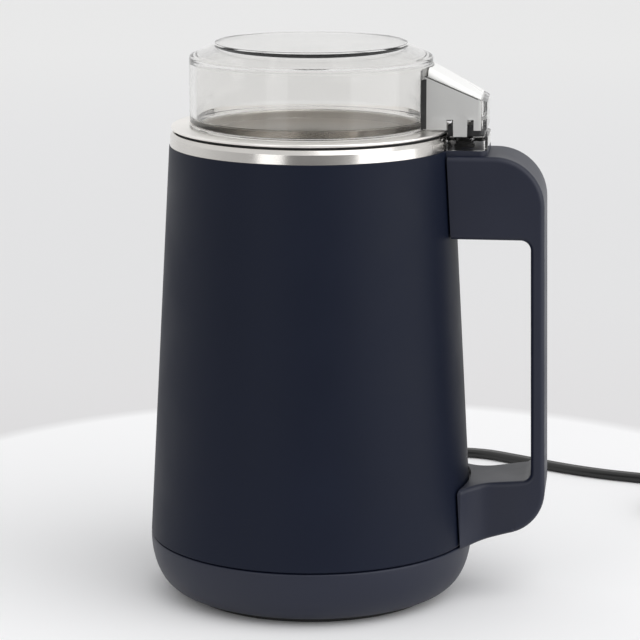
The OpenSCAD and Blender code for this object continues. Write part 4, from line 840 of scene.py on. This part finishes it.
tab = tab_plan("tab", 0, tab_z, over_lid)
pick(tab)
bpy.ops.object.mode_set(mode="EDIT")
bpy.ops.mesh.select_all(action="SELECT")
bpy.ops.mesh.bisect(plane_co=(tab_root_x * mm, 0, frame_z(tab_root_x) * mm), plane_no=(tab_slope, 0, 1),
                    use_fill=True, clear_outer=True)
closed_up(tab)
edge_rounding(tab, 0.35)
combine(tab, "DIFFERENCE", tab_plan("tab_inside", tab_wall, tab_z - 1, over_lid))
tongues, slots = [], []
for side in (-1, 1):
    middle = side * (tab_half - tab_wall / 2)
    tongue = block("snap_tongue", (tongue_x, middle - tab_wall / 2, tongue_foot),
                   (tongue_x + tongue_width, middle + tab_wall / 2, tongue_root))
    edge_rounding(tongue, 0.25, 2)
    tongues.append(tongue)
    for x in (tongue_x - relief_width, tongue_x + tongue_width):
        slots.append(block("relief_slot", (x, side * tab_half - relief_half_depth, tab_z - 1),
                           (x + relief_width, side * tab_half + relief_half_depth, relief_top)))
combine(tab, "UNION", tab_plan("tab_shelf", tab_wall / 2, shelf_top - shelf_thickness, shelf_top))
combine(tab, "DIFFERENCE", rod("dome_room", 0, 0, under_lid, ceiling - 0.1, lid_radius - 0.6, sides=160),
        *slots, rod("rod_bore", plunger_x, 0, under_lid, over_lid, rod_bore_radius))
combine(tab, "UNION", *tongues)
combine(lid, "UNION", tab)
root_x, root_y, root_z, root_width, root_half = lid_radius - 3, tab_half + 1.2, tab_z + 0.3, 1.8, 1.4
combine(lid, "DIFFERENCE", *[
    block("root_groove", (root_x, y - root_half, root_z),
          (root_x + root_width, y + root_half, frame_z(lid_radius) - 0.4)) for y in (-root_y, root_y)])
smooth(lid, 30)


def clear_plastic(name, color, roughness=0.03, clear=1, bend=1.28):
    """Clear moulded plastic, with slow waves in its faces."""
    return surfaced(name, grain, {"Size": 160, "Roughness": roughness, "Patches": 0.02},
                    ([c * 0.985 for c in color], color), 0.7, 0.02, 0.1,
                    Metallic=0, Transmission_Weight=clear, IOR=bend)


# The tab is rubbed satin, its root grooves and the rounding along the top of its sides take a dark painted
# shade, and the skirt is moulded thin.
smoke_clear_acrylic = clear_plastic("smoke_clear_acrylic", (0.9, 0.895, 0.885))
tab_satin_smoke = clear_plastic("tab_satin_smoke", (0.62, 0.62, 0.61), roughness=0.3, clear=0.35)
painted_shade_lines = clear_plastic("painted_shade_lines", (0.06, 0.06, 0.06), roughness=0.3, clear=0.2)
thin_clear_acrylic = clear_plastic("thin_clear_acrylic", (0.97, 0.967, 0.96), bend=1.05)
finish_with(smoke_clear_acrylic, lid)
for material in (tab_satin_smoke, painted_shade_lines, thin_clear_acrylic):
    lid.data.materials.append(material)
repaint(lid, 3, lambda at, normal: at.z < lid_foot + 2.3 and off_axis(at) < lid_inside + 0.1
        or at.z < lid_foot - 0.1 and off_axis(at) < lid_radius - 1)
repaint(lid, 1, lambda at, normal: lid_radius * 0.95 < at.x < tab_end_x - 2 and abs(normal.y) > 0.7
        and off_axis(at) > lid_radius + 0.02)
# Painted shade: the faces of the two root grooves take the dark material.
repaint(lid, 2, lambda at, normal: abs(abs(at.y) - root_y) < root_half + 0.05
        and root_x - 0.05 < at.x < root_x + root_width + 0.05
        and root_z - 0.05 < at.z < frame_top and off_axis(at) < lid_radius - 0.02)
# Painted shade: the rounding along the top of the tab's sides takes the dark material, a thin dark line under
# the frame's top.
repaint(lid, 2, lambda at, normal: lid_radius + 1 < at.x < tab_end_x - 1 and abs(at.y) > tab_half - 0.4
        and normal.z > 0.25 and abs(normal.y) > 0.25)
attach(lid, "lid")
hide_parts("lid")

# --- Thumb pad ---
# Glossy white cap that crowns the tab. Pressed down, it drives a rod through the
# tab's shelf onto the switch plunger, and a spring lifts it back.
pad_half, pad_end_x, pad_root_x = tab_half - 2, tab_end_x - 2, lid_radius - 2
pad_thickness, pad_skirt, pad_root_rise, pad_end_rise = 2, 2.4, 3.2, 0.9
pad_wall, pad_corner, rod_boss_radius = 1.4, 2.4, 3.6


def pad_z(x):
    rise = (pad_end_rise - pad_root_rise) * (x - pad_root_x) / (pad_end_x - pad_root_x)
    return frame_z(x) + pad_root_rise + rise


pad_sides = [(pad_root_x, frame_z(pad_root_x) - pad_skirt), (pad_end_x, frame_z(pad_end_x) - pad_skirt),
             (pad_end_x, pad_z(pad_end_x)), (pad_root_x, pad_z(pad_root_x))]
pad = drawn_plate("thumb_pad", pad_sides, -pad_half, pad_half)
choose(pad, "EDGE", lambda at, way: abs(way.y) < 0.1 and abs(way.x) > 0.5 and at.z > frame_z(at.x))
bpy.ops.mesh.bevel(offset=pad_corner * mm, segments=8, affect="EDGES")
edge_rounding(pad, 0.5, angle=40)
hollow_x, hollow_end = pad_root_x - 1, pad_end_x - pad_wall
hollow = drawn_plate("pad_hollow", [(hollow_x, under_lid), (hollow_end, under_lid),
                                    (hollow_end, pad_z(hollow_end) - pad_thickness),
                                    (hollow_x, pad_z(hollow_x) - pad_thickness)],
                     pad_wall - pad_half, pad_half - pad_wall)
pad_roof = pad_z(plunger_x + rod_boss_radius)
rod_boss_z = pad_roof - pad_thickness - 1
combine(pad, "DIFFERENCE", hollow, rod("dome_room", 0, 0, under_lid, over_lid, lid_radius + 0.4, sides=160))
combine(pad, "UNION", rod("rod_boss", plunger_x, 0, rod_boss_z, pad_roof - 0.8, rod_boss_radius))
combine(pad, "DIFFERENCE", rod("rod_socket", plunger_x, 0, under_lid, rod_boss_z + 1.6, rod_bore_radius))
smooth(pad, 30)
white_thumb_plastic = moulded("white_thumb_plastic", linear(238, 238, 236), 0.28, size=900, depth=0.03,
                              patches=0.05, dust=1.01, Coat_Weight=0.3)
finish_with(white_thumb_plastic, pad)
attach(pad, "pad")
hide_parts("thumb_pad")

# --- Pad and plunger springs ---
# Coils of spring steel. One stands on the tab's shelf round the press rod and
# lifts the pad, and one stands on the microswitch and lifts the plunger.
spring_wire, flat_share, plunger_spring_foot, plunger_spring_top = 0.3, 0.12, 142, 148.4


def weld(piece):
    """Merges points that lie in the same place."""
    choose(piece, "VERT", lambda at, normal: True)
    closed_up(piece, 0.002)


def coil_spring(name, radius, z0, z1, turns):
    """Round wire wound upwards round the plunger's line, with its two ends lying flat."""
    low, high = z0 + spring_wire, z1 - spring_wire
    count = int(turns * 24)
    piece = drawn_line(name, [((plunger_x + radius * math.cos(2 * math.pi * turns * k / count)) * mm,
                               radius * math.sin(2 * math.pi * turns * k / count) * mm,
                               (low + (high - low) * eased(k / count, flat_share, 1 - flat_share)) * mm)
                              for k in range(count + 1)])
    piece.data.bevel_depth = spring_wire * mm
    piece.data.bevel_resolution = 3
    piece.data.use_fill_caps = True
    bpy.ops.object.convert(target="MESH")
    weld(piece)
    smooth(piece, 60)
    return piece


spring_steel = metal("spring_steel", linear(188, 186, 182), 0.3, across=3000, along=300)
pad_spring = coil_spring("pad_spring", 3, shelf_top, rod_boss_z, 4.5)
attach(pad_spring, "lid")
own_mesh(pad_spring)
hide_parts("pad_spring")
plunger_spring = coil_spring("plunger_spring", 2.15, plunger_spring_foot, plunger_spring_top, 5)
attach(plunger_spring, "housing")
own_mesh(plunger_spring)
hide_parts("plunger_spring")
finish_with(spring_steel, pad_spring, plunger_spring)

# --- Switch on the handle ---
# A clear collar and a black cap stand on the handle's plinth, round the plunger
# that works the microswitch. The press rod comes down to it through the cap.
collar_top, collar_deck, switch_cap_top = 158.9, 1.2, 162.7
plunger_hole_radius, rod_hole_radius, under_ring, over_cap = 3.5, 3.2, 150, 170
boot_bore, boot_foot, boot_neck, boot_fold, boot_folds = 2.4, 3.4, 2.6, 2.9, 3
collar = plate_with_round_end("switch_collar", handle_root_x, collar_end_x, tab_half, tab_corner, 8,
                              plinth_z, collar_top)
edge_rounding(collar, 0.3)
inside = plate_with_round_end("collar_inside", handle_root_x - 1, collar_end_x - collar_deck,
                              tab_half - collar_deck, tab_corner / 2, 6,
                              plinth_z - 1, collar_top - collar_deck)
combine(collar, "DIFFERENCE", inside,
        rod("ring_room", 0, 0, under_ring, over_cap, body_top_radius + 0.2, sides=160),
        rod("plunger_hole", plunger_x, 0, under_ring, over_cap, plunger_hole_radius))
smooth(collar, 30)
finish_with(smoke_clear_acrylic, collar)
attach(collar, "housing")
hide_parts("switch_collar")

boot_line = [(boot_bore, 0), (boot_foot, 0), (boot_foot, 0.8), (boot_neck, 0.8)]
for fold in range(boot_folds):
    boot_line += [(boot_fold, fold + 1.1), (boot_fold, fold + 1.5), (boot_neck, fold + 1.8)]
boot = turned("plunger_boot", boot_line + [(boot_bore, boot_line[-1][1])], 48)
set_down(boot, (plunger_x, 0, plinth_z))
smooth(boot)
finish_with(foot_rubber, boot)
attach(boot, "housing")
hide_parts("plunger_boot")

switch_cap = plate_with_round_end("switch_cap", handle_root_x, collar_end_x - collar_deck,
                                  tab_half - 2.1, 2, 6, collar_top, switch_cap_top)
edge_rounding(switch_cap, 0.5, 4)
combine(switch_cap, "DIFFERENCE",
        rod("rim_room", 0, 0, under_ring, over_cap, rim_radius + 0.6, sides=160),
        rod("rod_hole", plunger_x, 0, under_ring, over_cap, rod_hole_radius))
smooth(switch_cap, 30)
black_moulding = moulded("black_moulding", linear(34, 34, 36), 0.42, size=2200)
finish_with(black_moulding, switch_cap)
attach(switch_cap, "housing")
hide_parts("switch_cap")

# --- Blade ---
# Two-ended blade stamped from stainless strip, one end bent up and one down.
# The edge that leads at each end is ground to a bevel, and a nut holds the blade.
blade_tip, blade_half, blade_thickness, blade_flat, blade_z = 32, 5.5, 1.6, 9, 124.2
blade_slope, blade_taper, blade_grind, shaft_hole_radius = math.tan(math.radians(10)), 3, 1.3, 2.52
blade_rise = (blade_tip - blade_flat) * blade_slope
lower_line = [(-blade_tip, blade_z - blade_rise), (-blade_flat, blade_z), (blade_flat, blade_z),
              (blade_tip, blade_z + blade_rise)]
blade = drawn_plate("blade", rounded(lower_line + [(x, z + blade_thickness) for x, z in reversed(lower_line)],
                                     [0, 4, 4, 0, 0, 4, 4, 0], 4), -2 * blade_half, 2 * blade_half)
combine(blade, "INTERSECT", drawn_plate("blade_plan", rounded(
    [(-blade_tip, blade_taper - blade_half), (-blade_flat, -blade_half), (blade_tip, -blade_half),
     (blade_tip, blade_half - blade_taper), (blade_flat, blade_half), (-blade_tip, blade_half)],
    [1, 4, 5, 1, 4, 5], 8), blade_z - 10, blade_z + 10, flat=True))


def leads(at, way):
    """True of the upper edge that meets the spice first, on either half of the blade."""
    middle = blade_z + blade_thickness / 2 + at.x * blade_slope - math.copysign(blade_rise, at.x) * 0.4
    return (abs(way.x) > 0.9 and at.x * at.y < 0 and abs(at.x) > blade_flat + 2 and abs(at.y) > 3
            and at.z > middle)


choose(blade, "EDGE", leads)
bpy.ops.mesh.bevel(offset=blade_grind * mm, segments=1, affect="EDGES")
weld(blade)
combine(blade, "DIFFERENCE", rod("shaft_hole", 0, 0, 100, 140, shaft_hole_radius))
smooth(blade, 30)
ground_steel = metal("ground_steel", linear(206, 204, 200), 0.22, across=2500, along=400)
finish_with(ground_steel, blade)
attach(blade, "rotor")
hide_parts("blade")

# --- Motor and small pieces ---
# The motor, its brackets, the microswitch and the fasteners keep their solids.
# Each takes the finish of what it is made of.
zinc_plate = metal("zinc_plate", linear(186, 188, 192), 0.28, across=2000, along=300)
die_cast_alloy, lamination_steel, enamelled_copper, sintered_bronze = (
    metal(name, linear(*color), roughness, across=across, along=along, depth=depth, dust=dust)
    for name, color, roughness, across, along, depth, dust in (
        ("die_cast_alloy", (158, 160, 162), 0.5, 900, 900, 0.4, 1.12),
        ("lamination_steel", (96, 98, 102), 0.45, 2200, 5, 0.4, 1.2),
        ("enamelled_copper", (178, 98, 54), 0.34, 2600, 8, 0.4, 1.2),
        ("sintered_bronze", (186, 148, 92), 0.42, 1500, 900, 0.2, 1.1)))
pressed_carbon = moulded("pressed_carbon", linear(46, 46, 48), 0.6, size=1600, depth=0.3)
potting_epoxy = moulded("potting_epoxy", linear(198, 168, 62), 0.3, size=700)
white_moulding = moulded("white_moulding", linear(238, 238, 235), 0.35, size=1500, dust=1.04)
for material, names in [
        (zinc_plate, ["handle_screws", "base_screws", "motor_bolts", "clamp_screws"]),
        (foot_rubber, ["bowl_gasket", "shaft_seal", "motor_mounts"]),
        (ground_steel, ["blade_nut"]),
        (black_moulding, ["inner_liner", "bowl_clamp_ring", "lower_bracket", "cooling_fan", "microswitch",
                          "switch_plunger", "cord_clamp"]),
        (die_cast_alloy, ["upper_bracket"]),
        (sintered_bronze, ["upper_bushing", "lower_bushing", "brush_holders"]),
        (lamination_steel, ["stator_core", "rotor_core"]),
        (enamelled_copper, ["field_coils", "rotor_windings", "commutator"]),
        (pressed_carbon, ["carbon_brushes"]),
        (spring_steel, ["brush_springs", "motor_shaft", "rod_clip"]),
        (potting_epoxy, ["suppression_capacitor"]),
        (white_moulding, ["switch_cradle", "switch_button", "press_rod"]),
        (smoke_clear_acrylic, ["lid_seal"]),
        (flex_vinyl, ["switch_leads", "power_leads"])]:
    finish_with(material, *[nodes[name] for name in names])

# --- Table and light ---
# A pale round table in a plain pale room. One broad light comes from above,
# and two soft boxes stand in front of the grinder, one on each side.
floor_size, room_depth, table_radius, table_edge, table_middle = 7, 1.5, 0.187, 0.004, 0.079
floor = added("table", bpy.ops.mesh.primitive_plane_add, size=floor_size, location=(0, 0, 0))


def mirror_room(tree, toward, ahead, target):
    """Leads to a socket what polished pieces mirror: a room dim in front and bright behind."""
    add_node(tree, "front", "VectorMath", "DOT_PRODUCT").inputs[1].default_value = ahead
    add_node(tree, "turn", "MapRange", From_Min=1, From_Max=-1)
    set_ramp(add_node(tree, "steps", "ValToRGB"),
             *[(share, [grey] * 3) for share, grey in ((0, 0.2), (0.15, 0.55), (0.6, 0.85), (1, 0.88))])
    wire(tree, toward + " > front.0", "front.Value > turn.Value", "turn.Result > steps.Fac",
         "steps.Color > " + target)


pale_table = bpy.data.materials.new("pale_table")
pale_table.use_nodes = True
tree = pale_table.node_tree
put(tree.nodes["Principled BSDF"], Roughness=0.8, Specular_IOR_Level=0.2)
add_node(tree, "place", "TexCoord")
add_node(tree, "centre", "VectorMath", "DISTANCE").inputs[1].default_value = (0, table_middle, 0)
add_node(tree, "reach", "Math", "DIVIDE").inputs[1].default_value = room_depth
set_ramp(add_node(tree, "tone", "ValToRGB"), *[
    (distance / room_depth, linear(*color)) for distance, color in (
        (table_radius - table_edge, (246, 246, 247)), (table_radius + table_edge, (222, 221, 222)),
        (0.45, (225, 225, 226)), (1, (230, 230, 231)), (room_depth, (235, 235, 235)))])
add_node(tree, "beyond", "MapRange", From_Min=0.45, From_Max=0.55)
add_node(tree, "away", "VectorMath", "NORMALIZE")
add_node(tree, "rays", "LightPath")
add_node(tree, "seen", "Math", "MULTIPLY")
add_node(tree, "mirrored", "MixRGB")
mirror_room(tree, "away.0", (0, -1, 0), "mirrored.Color2")
wire(tree, "place.Object > centre.0", "centre.Value > reach.0", "reach.0 > tone.Fac",
     "tone.Color > mirrored.Color1", "place.Object > away.0", "centre.Value > beyond.Value",
     "beyond.Result > seen.0", "rays.Is Glossy Ray > seen.1", "seen.0 > mirrored.Fac",
     "mirrored.Color > Principled BSDF.Base Color")
finish_with(pale_table, floor)


def lamp(name, kind, location, **settings):
    """Lamp in metres that faces the middle of the grinder."""
    made = added(name, bpy.ops.object.light_add, type=kind, location=location)
    for field, value in settings.items():
        setattr(made.data, field, value)
    made.rotation_euler = (Vector((0, 0, 0.1)) - made.location).to_track_quat("-Z", "Y").to_euler()


lamp("window", "SUN", (0.55, -0.4, 1), energy=0.9, angle=math.radians(60))
lamp("front_left", "AREA", (-0.4, -0.84, 0.3), energy=0.95, shape="RECTANGLE", size=0.36, size_y=0.6)
lamp("front_right", "AREA", (0.9, -0.33, 0.3), energy=3, shape="RECTANGLE", size=1, size_y=0.6)
bpy.context.scene.view_settings.view_transform = "Standard"
room = bpy.data.worlds.new("room")
bpy.context.scene.world = room
room.use_nodes = True
tree = room.node_tree
put(tree.nodes["Background"], Color=(1, 1, 1, 1))
add_node(tree, "toward", "TexCoord")
add_node(tree, "rays", "LightPath")
add_node(tree, "level", "Mix", A=0.74)
mirror_room(tree, "toward.Generated", (0, -1, -1.6), "level.B")
wire(tree, "rays.Is Glossy Ray > level.Factor", "level.Result > Background.Strength")
